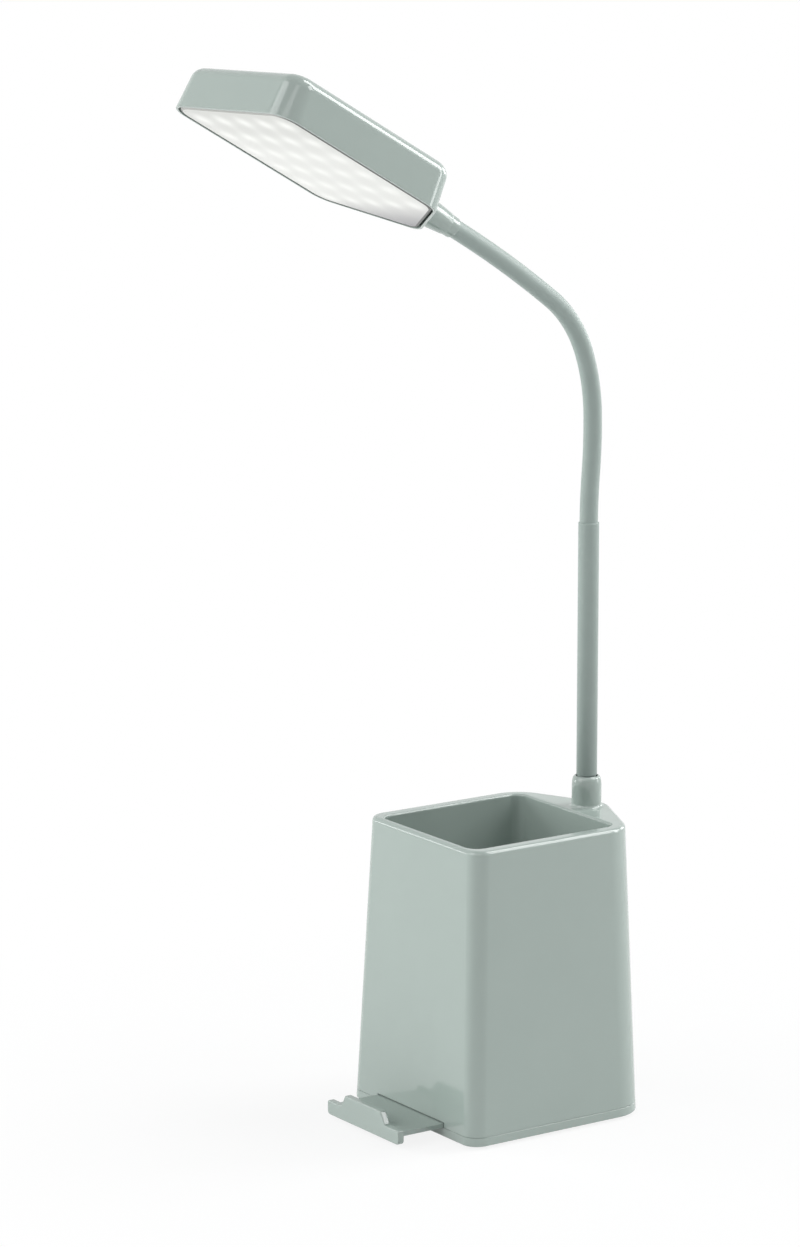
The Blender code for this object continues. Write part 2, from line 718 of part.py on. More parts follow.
def make_bottom_cover():
    sections = []
    for rise, draw_in in reversed(list(fillet_steps())):
        height = BASE_FOOT_Z + FOOT_R * (1 - rise)
        sections.append((base_outline(height, FOOT_R * draw_in), height))
    sections.append((base_outline(PARTING_Z), PARTING_Z))
    cover = loft("bottom_cover", sections, "sage plastic")

    above = PARTING_Z + OVERRUN
    boolean(cover, loft("cover hollow", [
        (base_outline(COVER_TOP_Z, COVER_RIM), COVER_TOP_Z),
        (base_outline(above, COVER_RIM), above),
    ]))
    recess_top = BASE_FOOT_Z + PAD_RECESS
    boolean(cover, loft("pad recess", [
        (base_outline(0, PAD_INSET), -OVERRUN),
        (base_outline(0, PAD_INSET), recess_top),
    ]))
    embed = COVER_TOP_Z - COVER_PLATE / 4
    for name, x, y in post_places():
        pad = rod("cover boss " + name, POST_R, embed, PARTING_Z, (x, y))
        boolean(cover, pad, "UNION")
    for side in (-1, 1):
        x = side * RUNNER_X
        runner = box("runner " + str(side), (x - RUNNER_WIDTH / 2, -FRONT_DEPTH, embed),
                     (x + RUNNER_WIDTH / 2, CARRIER_REAR_Y, PARTING_Z))
        boolean(cover, runner, "UNION")
        place = (side * CARRIER_SCREW_X, carrier_screw_y())
        foot = rod("carrier boss " + str(side), POST_R, embed, PARTING_Z, place)
        boolean(cover, foot, "UNION")
        pilot_foot = recess_top + SCREW_WEB
        pilot = rod("carrier pilot " + str(side), SCREW_HOLE_R, pilot_foot, above, place)
        boolean(cover, pilot)
    for index, (x, y) in enumerate(standoff_places()):
        name = "standoff " + str(index)
        boolean(cover, rod(name, STANDOFF_R, embed, BOARD_Z - SEAT_GAP, (x, y)), "UNION")
        pilot = rod(name + " pilot", SCREW_HOLE_R, WEIGHT_Z, BOARD_Z + OVERRUN, (x, y))
        boolean(cover, pilot)
    head_top = recess_top + SCREW_HEAD + SEAT_GAP
    for name, x, y in post_places():
        head_r = SCREW_HEAD_R + SEAT_GAP
        boolean(cover, rod("head seat " + name, head_r, -OVERRUN, head_top, (x, y)))
        boolean(cover, rod("shank hole " + name, SCREW_HOLE_R, -OVERRUN, above, (x, y)))
    return cover


def make_desk_pad():
    outline = base_outline(0, PAD_INSET + SEAT_GAP)
    return loft("desk_pad", [(outline, 0), (outline, PAD_THICK)], "dark rubber")


def screw(name, place, head_z, length, down=False, parent=None):
    """A round head with a shank; the shank points up, or down when told."""
    x, y = place
    sign = -1 if down else 1
    tip = head_z + sign * (SCREW_HEAD + length)
    seat = head_z + sign * SCREW_HEAD
    profile = [(0, tip), (SCREW_R, tip), (SCREW_R, seat), (SCREW_HEAD_R, seat),
               (SCREW_HEAD_R, head_z), (0, head_z)]
    if down:
        profile.reverse()
    piece = turned(name, profile, "steel", parent, steps=SMALL_STEPS)
    piece.location = (x, y, 0)


def make_cover_screws():
    head_z = BASE_FOOT_Z + PAD_RECESS
    length = COVER_SCREW_LENGTH - SCREW_HEAD
    for index, (_, x, y) in enumerate(post_places(), 1):
        screw("cover_screw_" + str(index), (x, y), head_z, length)


def carrier_screw_y():
    return (CARRIER_REAR_Y + CARRIER_FOOT_Y) / 2


def make_tray_carrier():
    """A bridge over the tray: two rails, a deck, a foot at the back and two cell saddles."""
    rail_in = EAR_HALF_WIDTH + SLIDE_GAP
    rail_out = rail_in + RAIL_THICK
    foot_z = COVER_TOP_Z + SEAT_GAP
    carrier = box("tray_carrier", (-rail_out, -CARRIER_FRONT_Y, CARRIER_Z),
                  (rail_out, CARRIER_FOOT_Y, CARRIER_TOP_Z), "white plastic")
    overlap = CARRIER_DECK / 2
    for side in (-1, 1):
        low_x, high_x = sorted((side * rail_in, side * rail_out))
        rail = box("rail " + str(side), (low_x, -CARRIER_FRONT_Y, foot_z),
                   (high_x, CARRIER_FOOT_Y, CARRIER_Z + overlap))
        boolean(carrier, rail, "UNION")
        stop_y = -(LIP_FRONT_Y - TRAY_LENGTH) - EAR_LENGTH - SEAT_GAP
        low_x, high_x = sorted((side * STOP_HALF_WIDTH, side * (rail_out - RAIL_THICK / 2)))
        stop = box("stop " + str(side), (low_x, stop_y - STOP_LENGTH, TRAY_Z),
                   (high_x, stop_y, CARRIER_Z + overlap))
        boolean(carrier, stop, "UNION")
        x = side * SADDLE_X
        front = -CELL_Y - SADDLE_HALF_DEPTH
        back = -CELL_Y + SADDLE_HALF_DEPTH
        saddle = box("saddle " + str(side), (x - SADDLE_THICK / 2, front, CARRIER_TOP_Z - overlap),
                     (x + SADDLE_THICK / 2, back, CARRIER_TOP_Z + SADDLE_HEIGHT))
        boolean(carrier, saddle, "UNION")
        place = (side * CARRIER_SCREW_X, carrier_screw_y())
        foot = PARTING_Z + SEAT_GAP
        pillar = rod("carrier foot " + str(side), POST_R, foot, CARRIER_Z + overlap, place)
        boolean(carrier, pillar, "UNION")
        high = CARRIER_TOP_Z + OVERRUN
        hole = rod("carrier hole " + str(side), SCREW_HOLE_R, 0, high, place)
        boolean(carrier, hole)
    half = CELL_HALF_LENGTH
    cell_space = rod("cell space", CELL_R + SEAT_GAP, -half, half, steps=ROUND_STEPS)
    cell_space.rotation_euler = (0, math.pi / 2, 0)
    cell_space.location = (0, -CELL_Y, CELL_Z)
    boolean(carrier, cell_space)
    return carrier


def make_carrier_screws():
    head_z = CARRIER_TOP_Z + SEAT_GAP + SCREW_HEAD
    for index, side in enumerate((-1, 1), 1):
        place = (side * CARRIER_SCREW_X, carrier_screw_y())
        screw("carrier_screw_" + str(index), place, head_z, CARRIER_SCREW_LENGTH, down=True)


def lip_outline():
    """The lip seen from the front: low shoulders and a raised tab with sloping sides."""
    return rounded([
        (LIP_HALF_WIDTH, LIP_BOTTOM_Z, LIP_FOOT_R),
        (LIP_HALF_WIDTH, LIP_SHOULDER_Z, LIP_CORNER_R),
        (TAB_FOOT_HALF, LIP_SHOULDER_Z, LIP_CORNER_R),
        (TAB_TOP_HALF, LIP_TAB_Z, LIP_CORNER_R),
        (-TAB_TOP_HALF, LIP_TAB_Z, LIP_CORNER_R),
        (-TAB_FOOT_HALF, LIP_SHOULDER_Z, LIP_CORNER_R),
        (-LIP_HALF_WIDTH, LIP_SHOULDER_Z, LIP_CORNER_R),
        (-LIP_HALF_WIDTH, LIP_BOTTOM_Z, LIP_FOOT_R),
    ])


def flat_curve(name, outline, thickness):
    """A flat outline in the curve's own XY plane, filled and given a thickness."""
    data = bpy.data.curves.new(name, "CURVE")
    data.dimensions = "2D"
    data.fill_mode = "BOTH"
    data.extrude = thickness / 2
    line = data.splines.new("POLY")
    line.points.add(len(outline) - 1)
    for point, (x, y) in zip(line.points, outline):
        point.co = (x, y, 0, 1)
    line.use_cyclic_u = True
    return data


def curve_to_mesh(name, data, finish, parent=None):
    """A curve's closed mesh, with the seams of its caps welded."""
    holder = bpy.data.objects.new(name + " curve", data)
    LAMP.objects.link(holder)
    bpy.context.view_layer.update()
    mesh = evaluated_mesh(holder)
    bpy.data.objects.remove(holder, do_unlink=True)
    bm = bmesh.new()
    bm.from_mesh(mesh)
    bpy.data.meshes.remove(mesh)
    bmesh.ops.remove_doubles(bm, verts=bm.verts, dist=MERGE)
    return mesh_object(name, bm, finish, parent)


def make_phone_tray():
    """A thin floor that slides in the base, with the lip at its front and ears at its back."""
    tray = curve_to_mesh("phone_tray", flat_curve("lip", lip_outline(), LIP_THICK), "sage plastic")
    tray.data.transform(Matrix.Rotation(math.pi / 2, 4, "X"))
    tray.data.transform(Matrix.Translation((0, -LIP_FRONT_Y + LIP_THICK / 2, 0)))
    corner = tray.modifiers.new("lip edges", "BEVEL")
    corner.width = LIP_EDGE_R
    corner.segments = 2
    corner.limit_method = "ANGLE"
    corner.angle_limit = math.radians(30)
    rear = -LIP_FRONT_Y + TRAY_LENGTH
    half = (TRAY_LENGTH - LIP_THICK / 2) / 2
    floor_outline = rounded(rectangle(TRAY_HALF_WIDTH, half, SHARP_R, (0, rear - half)), 1)
    floor = loft("tray floor", [(floor_outline, TRAY_Z), (floor_outline, TRAY_Z + TRAY_THICK)])
    boolean(tray, floor, "UNION")
    ears = box("tray ears", (-EAR_HALF_WIDTH, rear - EAR_LENGTH, TRAY_Z),
               (EAR_HALF_WIDTH, rear, TRAY_Z + TRAY_THICK))
    boolean(tray, ears, "UNION")
    return tray


def make_battery_cell():
    """A round cell lying across the lamp, with its raised cap on the right."""
    edge = CELL_EDGE_R
    top = CELL_HALF_LENGTH - CELL_CAP
    cell = turned("battery_cell", [
        (0, top + CELL_CAP),
        (CELL_CAP_R, top + CELL_CAP),
        (CELL_CAP_R, top),
        (CELL_R - edge, top),
        (CELL_R, top - edge),
        (CELL_R, -CELL_HALF_LENGTH + edge),
        (CELL_R - edge, -CELL_HALF_LENGTH),
        (0, -CELL_HALF_LENGTH),
    ], "cell wrap")
    cell.rotation_euler = (0, math.pi / 2, 0)
    cell.location = (0, -CELL_Y, CELL_Z)
    return cell


def make_counterweight():
    outline = rounded([
        (WEIGHT_HALF_WIDTH, WEIGHT_FRONT_Y, WEIGHT_CORNER_R),
        (WEIGHT_HALF_WIDTH, WEIGHT_SIDE_Y, WEIGHT_CORNER_R),
        (0, WEIGHT_APEX_Y, WEIGHT_CORNER_R),
        (-WEIGHT_HALF_WIDTH, WEIGHT_SIDE_Y, WEIGHT_CORNER_R),
        (-WEIGHT_HALF_WIDTH, WEIGHT_FRONT_Y, WEIGHT_CORNER_R),
    ], FILLET_STEPS)
    top = WEIGHT_Z + WEIGHT_THICK
    weight = loft("counterweight", [(outline, WEIGHT_Z), (outline, top)], "steel")
    for index, place in enumerate(standoff_places()):
        low = WEIGHT_Z - OVERRUN
        high = top + OVERRUN
        hole = rod("weight hole " + str(index), STANDOFF_R + SEAT_GAP, low, high, place)
        boolean(weight, hole)
    return weight


def make_control_board(wall):
    edge = -BASE_WALL - BOARD_TO_WALL
    board = box("control_board", (BOARD_SHIFT - BOARD_LENGTH / 2, edge - BOARD_DEPTH, BOARD_Z),
                (BOARD_SHIFT + BOARD_LENGTH / 2, edge, BOARD_TOP_Z), "board", wall)
    for index, place in enumerate(standoff_places()):
        low = BOARD_Z - OVERRUN
        high = BOARD_TOP_Z + OVERRUN
        boolean(board, rod("board hole " + str(index), SCREW_HOLE_R, low, high, place))
    return board


def make_board_screws():
    head_z = BOARD_TOP_Z + SEAT_GAP + SCREW_HEAD
    for index, place in enumerate(standoff_places(), 1):
        screw("board_screw_" + str(index), place, head_z, BOARD_SCREW_LENGTH, down=True)


def make_usb_socket(wall):
    """A flattened metal shell, open towards the port, with a tongue inside."""
    mouth = -BASE_WALL / 2
    back = mouth - SOCKET_DEPTH
    half_x = SOCKET_WIDTH / 2
    half_z = SOCKET_HEIGHT / 2
    outer = rounded(rectangle(half_x, half_z, half_z - SHARP_R))
    socket = loft("usb_socket", [(outer, 0), (outer, SOCKET_DEPTH)], "steel", wall)
    shell = SOCKET_SHELL
    inner = rounded(rectangle(half_x - shell, half_z - shell, half_z - shell - SHARP_R))
    above = SOCKET_DEPTH + OVERRUN
    hollow = loft("socket hollow", [(inner, SOCKET_SHELL), (inner, above)], parent=socket)
    boolean(socket, hollow)
    tongue = box("socket tongue", (-half_x / 2, -SOCKET_TONGUE / 2, 0),
                 (half_x / 2, SOCKET_TONGUE / 2, SOCKET_DEPTH - SOCKET_TONGUE), parent=socket)
    boolean(socket, tongue, "UNION")
    socket.rotation_euler = (-math.pi / 2, 0, 0)
    socket.location = (SOCKET_ALONG, back, BOARD_TOP_Z + SEAT_GAP + half_z)
    return socket


def switch_front():
    """How far the face of the switch lies inside the wall's outer face."""
    return -BASE_WALL - BOARD_TO_WALL - SWITCH_FROM_EDGE


def make_tact_switch(wall):
    front = switch_front()
    low = BOARD_TOP_Z + SEAT_GAP
    switch = box("tact_switch", (SWITCH_ALONG - SWITCH_SIZE / 2, front - SWITCH_DEPTH, low),
                 (SWITCH_ALONG + SWITCH_SIZE / 2, front, low + SWITCH_HEIGHT), "switch", wall)
    plunger = rod("plunger", PLUNGER_R, -SWITCH_DEPTH / 2, PLUNGER_LENGTH, parent=wall)
    plunger.rotation_euler = (-math.pi / 2, 0, 0)
    plunger.location = (SWITCH_ALONG, front, button_height())
    boolean(switch, plunger, "UNION")
    return switch


def make_power_button(wall):
    """A round cap that shows through the wall, a flange behind it and a short stem."""
    seat = -BASE_WALL - BUTTON_FLANGE - SEAT_GAP
    stem_tip = switch_front() + PLUNGER_LENGTH + BUTTON_TRAVEL + BUTTON_PLAY
    edge = BUTTON_EDGE_R
    profile = [(0, BUTTON_PROUD), (BUTTON_R - edge, BUTTON_PROUD), (BUTTON_R, BUTTON_PROUD - edge)]
    profile.append((BUTTON_R, seat + BUTTON_FLANGE))
    profile.append((BUTTON_FLANGE_R, seat + BUTTON_FLANGE))
    profile.append((BUTTON_FLANGE_R, seat))
    if stem_tip < seat:
        profile.append((BUTTON_STEM_R, seat))
        profile.append((BUTTON_STEM_R, stem_tip))
        profile.append((0, stem_tip))
    else:
        profile.append((0, seat))
    button = turned("power_button", profile, "sage plastic", wall)
    button.rotation_euler = (-math.pi / 2, 0, 0)
    button.location = (SWITCH_ALONG, 0, button_height())
    return button


def lead(name, route, finish="wire", parent=None):
    """A round wire on a smooth curve through hand-placed points."""
    data = bpy.data.curves.new(name, "CURVE")
    data.dimensions = "3D"
    data.bevel_depth = LEAD_R
    data.bevel_resolution = 1
    data.use_fill_caps = True
    data.resolution_u = 4
    data.render_resolution_u = 0
    line = data.splines.new("BEZIER")
    line.bezier_points.add(len(route) - 1)
    for point, place in zip(line.bezier_points, route):
        point.co = place
        point.handle_left_type = "AUTO"
        point.handle_right_type = "AUTO"
    return curve_to_mesh(name, data, finish, parent)


def board_spot(along, height):
    """A place near the board's inner edge, so far along it, in base coordinates."""
    wall = bpy.data.objects["rear_wall_frame"].matrix_world
    inner = -BASE_WALL - BOARD_TO_WALL - BOARD_DEPTH + LEAD_SLACK / 2
    return wall @ Vector((BOARD_SHIFT + along, inner, height))


def make_base_leads():
    above_board = BOARD_TOP_Z + SEAT_GAP + LEAD_R
    lane_y = CUP_REAR + CUP_WALL + LEAD_SLACK
    in_stem_y = NECK_Y + STEM_BORE_R - SEAT_GAP - LEAD_R
    lead("lamp_lead", [
        board_spot(0, above_board),
        board_spot(LEAD_SLACK, above_board + LEAD_SLACK),
        (0, (lane_y + NECK_Y) / 2, CUP_FLOOR_Z),
        (0, NECK_Y, (CUP_FLOOR_Z + STEM_FOOT_Z) / 2),
        (0, in_stem_y, STEM_FOOT_Z),
        (0, in_stem_y, DECK_Z),
    ])
    cell_end = CELL_HALF_LENGTH + LEAD_R + SEAT_GAP
    rail_x = EAR_HALF_WIDTH + SLIDE_GAP + RAIL_THICK
    lead("battery_lead", [
        (cell_end, -CELL_Y, CELL_Z),
        (cell_end, -CELL_Y + 2 * LEAD_SLACK, CELL_Z - LEAD_SLACK),
        (rail_x, 0, CARRIER_TOP_Z + LEAD_SLACK),
        (HALF_WIDTH / 2, WEIGHT_FRONT_Y, above_board + LEAD_SLACK),
        (LEAD_SLACK, SHOULDER_DEPTH - 3 * LEAD_SLACK, above_board + LEAD_SLACK),
        board_spot(-LEAD_SLACK, above_board),
    ])


def hex_nut(name, flats, low, high, hole_r, parent=None):
    """A six-sided nut round the Z axis, with flats square to X and a clear hole."""
    corner_r = flats / 2 / math.cos(math.pi / 6)
    nut = rod(name, corner_r, low, high, steps=6, finish="steel", parent=parent)
    bore = rod(name + " bore", hole_r + SEAT_GAP, low - OVERRUN, high + OVERRUN, steps=ROUND_STEPS)
    bore.parent = nut
    boolean(nut, bore)
    return nut


def make_stem():
    """The stem's tube with a flange on the deck, its nut and washer, and its sleeve."""
    under = DECK_Z - ROOF - SEAT_GAP
    flange_z = DECK_Z + SEAT_GAP
    cup_r = CORE_R + SEAT_GAP
    stem = turned("neck_stem", [
        (STEM_R, STEM_TOP_Z),
        (STEM_R, flange_z + STEM_FLANGE),
        (STEM_FLANGE_R, flange_z + STEM_FLANGE),
        (STEM_FLANGE_R, flange_z),
        (STEM_R, flange_z),
        (STEM_R, STEM_FOOT_Z),
        (STEM_BORE_R, STEM_FOOT_Z),
        (STEM_BORE_R, STEM_TOP_Z - SOCKET_DEPTH_TOP),
        (cup_r, STEM_TOP_Z - SOCKET_DEPTH_TOP),
        (cup_r, STEM_TOP_Z),
    ], "steel", closed=True, steps=NECK_SIDES)
    bore = STEM_R + SEAT_GAP
    foot = flange_z + STEM_FLANGE + SEAT_GAP
    sleeve = turned("stem_sleeve", [
        (STEM_SLEEVE_R, STEM_TOP_Z),
        (STEM_SLEEVE_R, foot),
        (bore, foot),
        (bore, STEM_TOP_Z),
    ], "sage silicone", closed=True, steps=NECK_SIDES)
    washer = turned("lock_washer", [
        (WASHER_R, under),
        (WASHER_R, under - WASHER_THICK),
        (bore, under - WASHER_THICK),
        (bore, under),
    ], "steel", closed=True, steps=NECK_SIDES)
    nut_top = under - WASHER_THICK - SEAT_GAP
    nut_low = nut_top - NUT_HEIGHT
    nut = hex_nut("neck_nut", NUT_FLATS, nut_low, nut_top, STEM_R)
    for piece in (stem, sleeve, washer, nut):
        piece.location = (0, NECK_Y, 0)


def neck_point(length):
    """Forward place, height and lean of the neck's middle line at a length above the stem."""
    forward = 0.0
    height = STEM_TOP_Z
    lean = 0.0
    for arc, turn in NECK_ARCS:
        part = min(arc, length)
        share = part / arc
        radius = arc / turn
        end = lean + turn * share
        forward += radius * (math.cos(lean) - math.cos(end))
        height += radius * (math.sin(end) - math.sin(lean))
        lean = end
        length -= part
        if length <= 0:
            break
    return forward, height, lean


def station_length(index):
    """Length along the neck of bending station 1 to the last; 0 is the top of the stem."""
    return FIRST_STATION + STATION_PITCH * (index - 1)


def neck_frames():
    """One empty for each station, each the child of the one below, and the stem's empty."""
    root = frame("neck_root", location=(0, NECK_Y, 0), turn=NECK_YAW)
    frames = [frame("neck_joint_0", root, (0, 0, STEM_TOP_Z))]
    forward, height, lean = 0.0, STEM_TOP_Z, 0.0
    for index in range(1, STATION_COUNT + 1):
        to_forward, to_height, to_lean = neck_point(station_length(index))
        step = Vector((0, forward - to_forward, to_height - height))
        local = Matrix.Rotation(-lean, 3, "X") @ step
        frames.append(frame("neck_joint_" + str(index), frames[-1], local, to_lean - lean))
        forward, height, lean = to_forward, to_height, to_lean
    return frames


def local_line(start, lengths):
    """Points of the neck's line, and its lean, as seen from the frame at a starting length."""
    forward, height, lean = neck_point(start)
    turn = Matrix.Rotation(-lean, 3, "X")
    line = []
    for length in lengths:
        to_forward, to_height, to_lean = neck_point(length)
        step = Vector((0, forward - to_forward, to_height - height))
        line.append((turn @ step, to_lean - lean))
    return line


def sweep(name, rings, sides, finish, parent, loop):
    """A body through round sections, each a (centre, lean, radius, shift along the line)."""
    bm = bmesh.new()
    made = []
    for centre, lean, radius, shift in rings:
        turn = Matrix.Rotation(lean, 3, "X")
        ring = []
        for side in range(sides):
            angle = 2 * math.pi * side / sides
            spot = Vector((radius * math.cos(angle), radius * math.sin(angle), shift))
            ring.append(bm.verts.new(centre + turn @ spot))
        made.append(ring)
    pairs = list(zip(made, made[1:]))
    if loop:
        pairs.append((made[-1], made[0]))
    else:
        bm.faces.new(made[0][::-1])
        bm.faces.new(made[-1])
    for lower, upper in pairs:
        for side in range(sides):
            after = (side + 1) % sides
            bm.faces.new((lower[side], lower[after], upper[after], upper[side]))
    return mesh_object(name, bm, finish, parent)


def spaced(low, high):
    """Lengths from low to high at about the ring pitch."""
    count = max(2, round((high - low) / RING_PITCH))
    return [low + (high - low) * step / count for step in range(count + 1)]


def sleeve_ends(start, end, radius, has_low_hinge, is_last):
    """Where a sleeve of this radius has to stop so that its ends clear at full bend."""
    clear = radius * math.tan(STATION_BEND / 2) + BEND_GAP
    low = start + (clear if has_low_hinge else SEAT_GAP / 2)
    high = end - (SEAT_GAP / 2 if is_last else clear)
    return low, high


def make_neck_segment(index, parent):
    """One length of sleeve with bevelled ends, and the round-ended core inside it."""
    start = station_length(index) if index else 0.0
    last = index == STATION_COUNT
    end = NECK_LENGTH if last else station_length(index + 1)
    half_gap = SEAT_GAP / 2
    low = start + half_gap
    high = end - half_gap
    inner_r = SLEEVE_R - SLEEVE_WALL
    outer_ends = sleeve_ends(start, end, SLEEVE_R, index, last)
    outer_line = local_line(start, spaced(*outer_ends))
    outer = [(spot, lean, SLEEVE_R, 0) for spot, lean in outer_line]
    inner_ends = sleeve_ends(start, end, inner_r, index, last)
    inner_line = local_line(start, spaced(*inner_ends))
    inner = [(spot, lean, inner_r, 0) for spot, lean in reversed(inner_line)]
    sweep("neck_sleeve_" + str(index), outer + inner, NECK_SIDES, "sage silicone", parent, True)

    core_low = low if index else -(SOCKET_DEPTH_TOP - SEAT_GAP)
    core_high = high + COLLAR_LENGTH + CORE_IN_HEAD if last else high
    rings = []
    if index:
        rings += dome(start, core_low, 1)
    else:
        rings.append((Vector((0, 0, core_low)), 0.0, CORE_R, 0))
    first = low + CORE_R if index else low
    final = high if last else high - CORE_R
    rings += [(spot, lean, CORE_R, 0) for spot, lean in local_line(start, spaced(first, final))]
    if last:
        spot, lean = local_line(start, [NECK_LENGTH])[0]
        rings.append((spot, lean, CORE_R, core_high - high))
    else:
        rings += dome(start, core_high, -1)
    sweep("neck_core_" + str(index), rings, CORE_SIDES, "steel", parent, False)


def dome(start, tip, direction):
    """Rings of a round end whose tip lies at a length along the neck."""
    rings = []
    for step in range(DOME_STEPS):
        angle = math.pi / 2 * (step + 0.5) / (DOME_STEPS + 0.5)
        radius = CORE_R * math.sin(angle)
        back = CORE_R * (1 - math.cos(angle))
        spot, lean = local_line(start, [tip + direction * back])[0]
        rings.append((spot, lean, radius, 0))
    return rings if direction > 0 else rings[::-1]


def head_corners(depth=0.0):
    """The head's outline seen from above, with its front at -Y and its point at the origin."""
    front = -(HEAD_POINT + HEAD_LENGTH)
    return inset([
        (HEAD_HALF_WIDTH, front, HEAD_FRONT_R),
        (HEAD_HALF_WIDTH, -HEAD_POINT, HEAD_SHOULDER_R),
        (0, 0, HEAD_APEX_R),
        (-HEAD_HALF_WIDTH, -HEAD_POINT, HEAD_SHOULDER_R),
        (-HEAD_HALF_WIDTH, front, HEAD_FRONT_R),
    ], depth)


def head_outline(height, depth=0.0):
    return rounded(head_corners(depth + HEAD_DRAFT * height / HEAD_HEIGHT))


def make_head_housing(head):
    sections = [(head_outline(0), 0)]
    for rise, draw_in in fillet_steps(FILLET_STEPS + 1):
        height = HEAD_HEIGHT - HEAD_EDGE_R + HEAD_EDGE_R * rise
        sections.append((head_outline(height, HEAD_EDGE_R * draw_in), height))
    housing = loft("head_housing", sections, "sage plastic", head)
    roof = HEAD_HEIGHT - HEAD_ROOF
    inner_r = HEAD_EDGE_R - HEAD_WALL
    hollow = [(head_outline(0, HEAD_WALL), -OVERRUN)]
    for rise, draw_in in fillet_steps(2):
        height = roof - inner_r + inner_r * rise
        hollow.append((head_outline(height, HEAD_WALL + inner_r * draw_in), height))
    boolean(housing, loft("head hollow", hollow, parent=head))
    block = box("collar pad", (-PAD_BLOCK_HALF, -PAD_BLOCK_Y, REBATE_DEPTH + SEAT_GAP),
                (PAD_BLOCK_HALF, -HEAD_APEX_R / 2, roof + HEAD_ROOF / 2), parent=head)
    trim = loft("collar pad trim", [
        (head_outline(0, HEAD_WALL / 2), 0),
        (head_outline(HEAD_HEIGHT, HEAD_WALL / 2), HEAD_HEIGHT),
    ], parent=head)
    boolean(block, trim, "INTERSECT")
    boolean(housing, block, "UNION")
    for index, (x, y) in enumerate(head_post_places()):
        low = LIGHT_BOARD_Z + LIGHT_BOARD_THICK + SEAT_GAP
        high = roof + HEAD_ROOF / 2
        post = rod("head post " + str(index), HEAD_POST_R, low, high, (x, y), parent=head)
        boolean(housing, post, "UNION")
        low -= OVERRUN
        pilot = rod("head pilot " + str(index), SCREW_HOLE_R, low, roof, (x, y), parent=head)
        boolean(housing, pilot)
    boolean(housing, loft("rebate", [
        (rounded(head_corners(REBATE_WALL)), -OVERRUN),
        (rounded(head_corners(REBATE_WALL)), REBATE_DEPTH),
    ], parent=head))
    bore = rod("collar bore", SPIGOT_R + SEAT_GAP, -OVERRUN, 2 * PAD_BLOCK_Y,
               steps=ROUND_STEPS, parent=head)
    bore.rotation_euler = (math.pi / 2, 0, 0)
    bore.location = (0, 0, HEAD_AXIS_Z)
    boolean(housing, bore)
    return housing


def chip_front_y():
    return -(HEAD_POINT + HEAD_LENGTH - CHIP_FRONT)


def head_post_places():
    """Four posts, each in the middle between four of the light chips."""
    x = CHIP_PITCH_X * (CHIP_COLUMNS - 2) / 2
    front = chip_front_y() + CHIP_PITCH_Y / 2
    rear = front + CHIP_PITCH_Y * (CHIP_ROWS - 2)
    return [(side * x, y) for side in (-1, 1) for y in (front, rear)]


def make_head_collar(head):
    """A stepped sleeve on the neck's end, its front trimmed to the head's point."""
    tail = COLLAR_LENGTH
    bore = CORE_R + SEAT_GAP
    profile = [
        (COLLAR_TIP_R, tail),
        (COLLAR_RING_R, tail - COLLAR_EDGE),
        (COLLAR_RING_R, COLLAR_WAIST),
        (COLLAR_WAIST_R, COLLAR_WAIST - COLLAR_EDGE),
        (COLLAR_ROOT_R, COLLAR_FLARE),
        (COLLAR_ROOT_R, -PAD_BLOCK_Y),
        (bore, -PAD_BLOCK_Y),
        (bore, tail),
    ]
    collar = turned("head_collar", profile, "sage plastic", head, closed=True, steps=ROUND_STEPS)
    collar.rotation_euler = (-math.pi / 2, 0, 0)
    collar.location = (0, 0, HEAD_AXIS_Z)
    low = -OVERRUN
    high = HEAD_HEIGHT + OVERRUN
    trim = loft("collar trim", [
        (head_outline(low, -SEAT_GAP), low),
        (head_outline(high, -SEAT_GAP), high),
    ], parent=head)
    boolean(collar, trim)
    nut_high = -PAD_BLOCK_Y - SEAT_GAP
    nut_low = nut_high - COLLAR_NUT
    spigot = turned("spigot", [
        (SPIGOT_R, COLLAR_WAIST / 2),
        (SPIGOT_R, nut_low),
        (bore, nut_low),
        (bore, COLLAR_WAIST / 2),
    ], parent=head, closed=True, steps=ROUND_STEPS)
    spigot.rotation_euler = (-math.pi / 2, 0, 0)
    spigot.location = (0, 0, HEAD_AXIS_Z)
    boolean(collar, spigot, "UNION")
    nut = hex_nut("collar_nut", COLLAR_NUT_FLATS, nut_low, nut_high, SPIGOT_R, head)
    nut.rotation_euler = (-math.pi / 2, math.pi / 6, 0)
    nut.location = (0, 0, HEAD_AXIS_Z)


def make_diffuser(head):
    """A shallow tray of translucent plastic that closes the head's underside."""
    edge = REBATE_WALL + DIFFUSER_GAP
    top = REBATE_DEPTH - SEAT_GAP
    face = -DIFFUSER_DOME
    sections = []
    for rise, draw_in in reversed(list(fillet_steps())):
        height = face + (DIFFUSER_EDGE_R + DIFFUSER_DOME) * (1 - rise)
        sections.append((rounded(head_corners(edge + DIFFUSER_EDGE_R * 2 * draw_in)), height))
    sections.append((rounded(head_corners(edge)), top))
    diffuser = loft("diffuser", sections, "diffuser", head)
    inner = edge + DIFFUSER_WALL
    boolean(diffuser, loft("diffuser hollow", [
        (rounded(head_corners(inner + DIFFUSER_EDGE_R)), face + DIFFUSER_WALL),
        (rounded(head_corners(inner)), face + DIFFUSER_WALL + DIFFUSER_EDGE_R),
        (rounded(head_corners(inner)), top + OVERRUN),
    ], parent=head))
    return diffuser


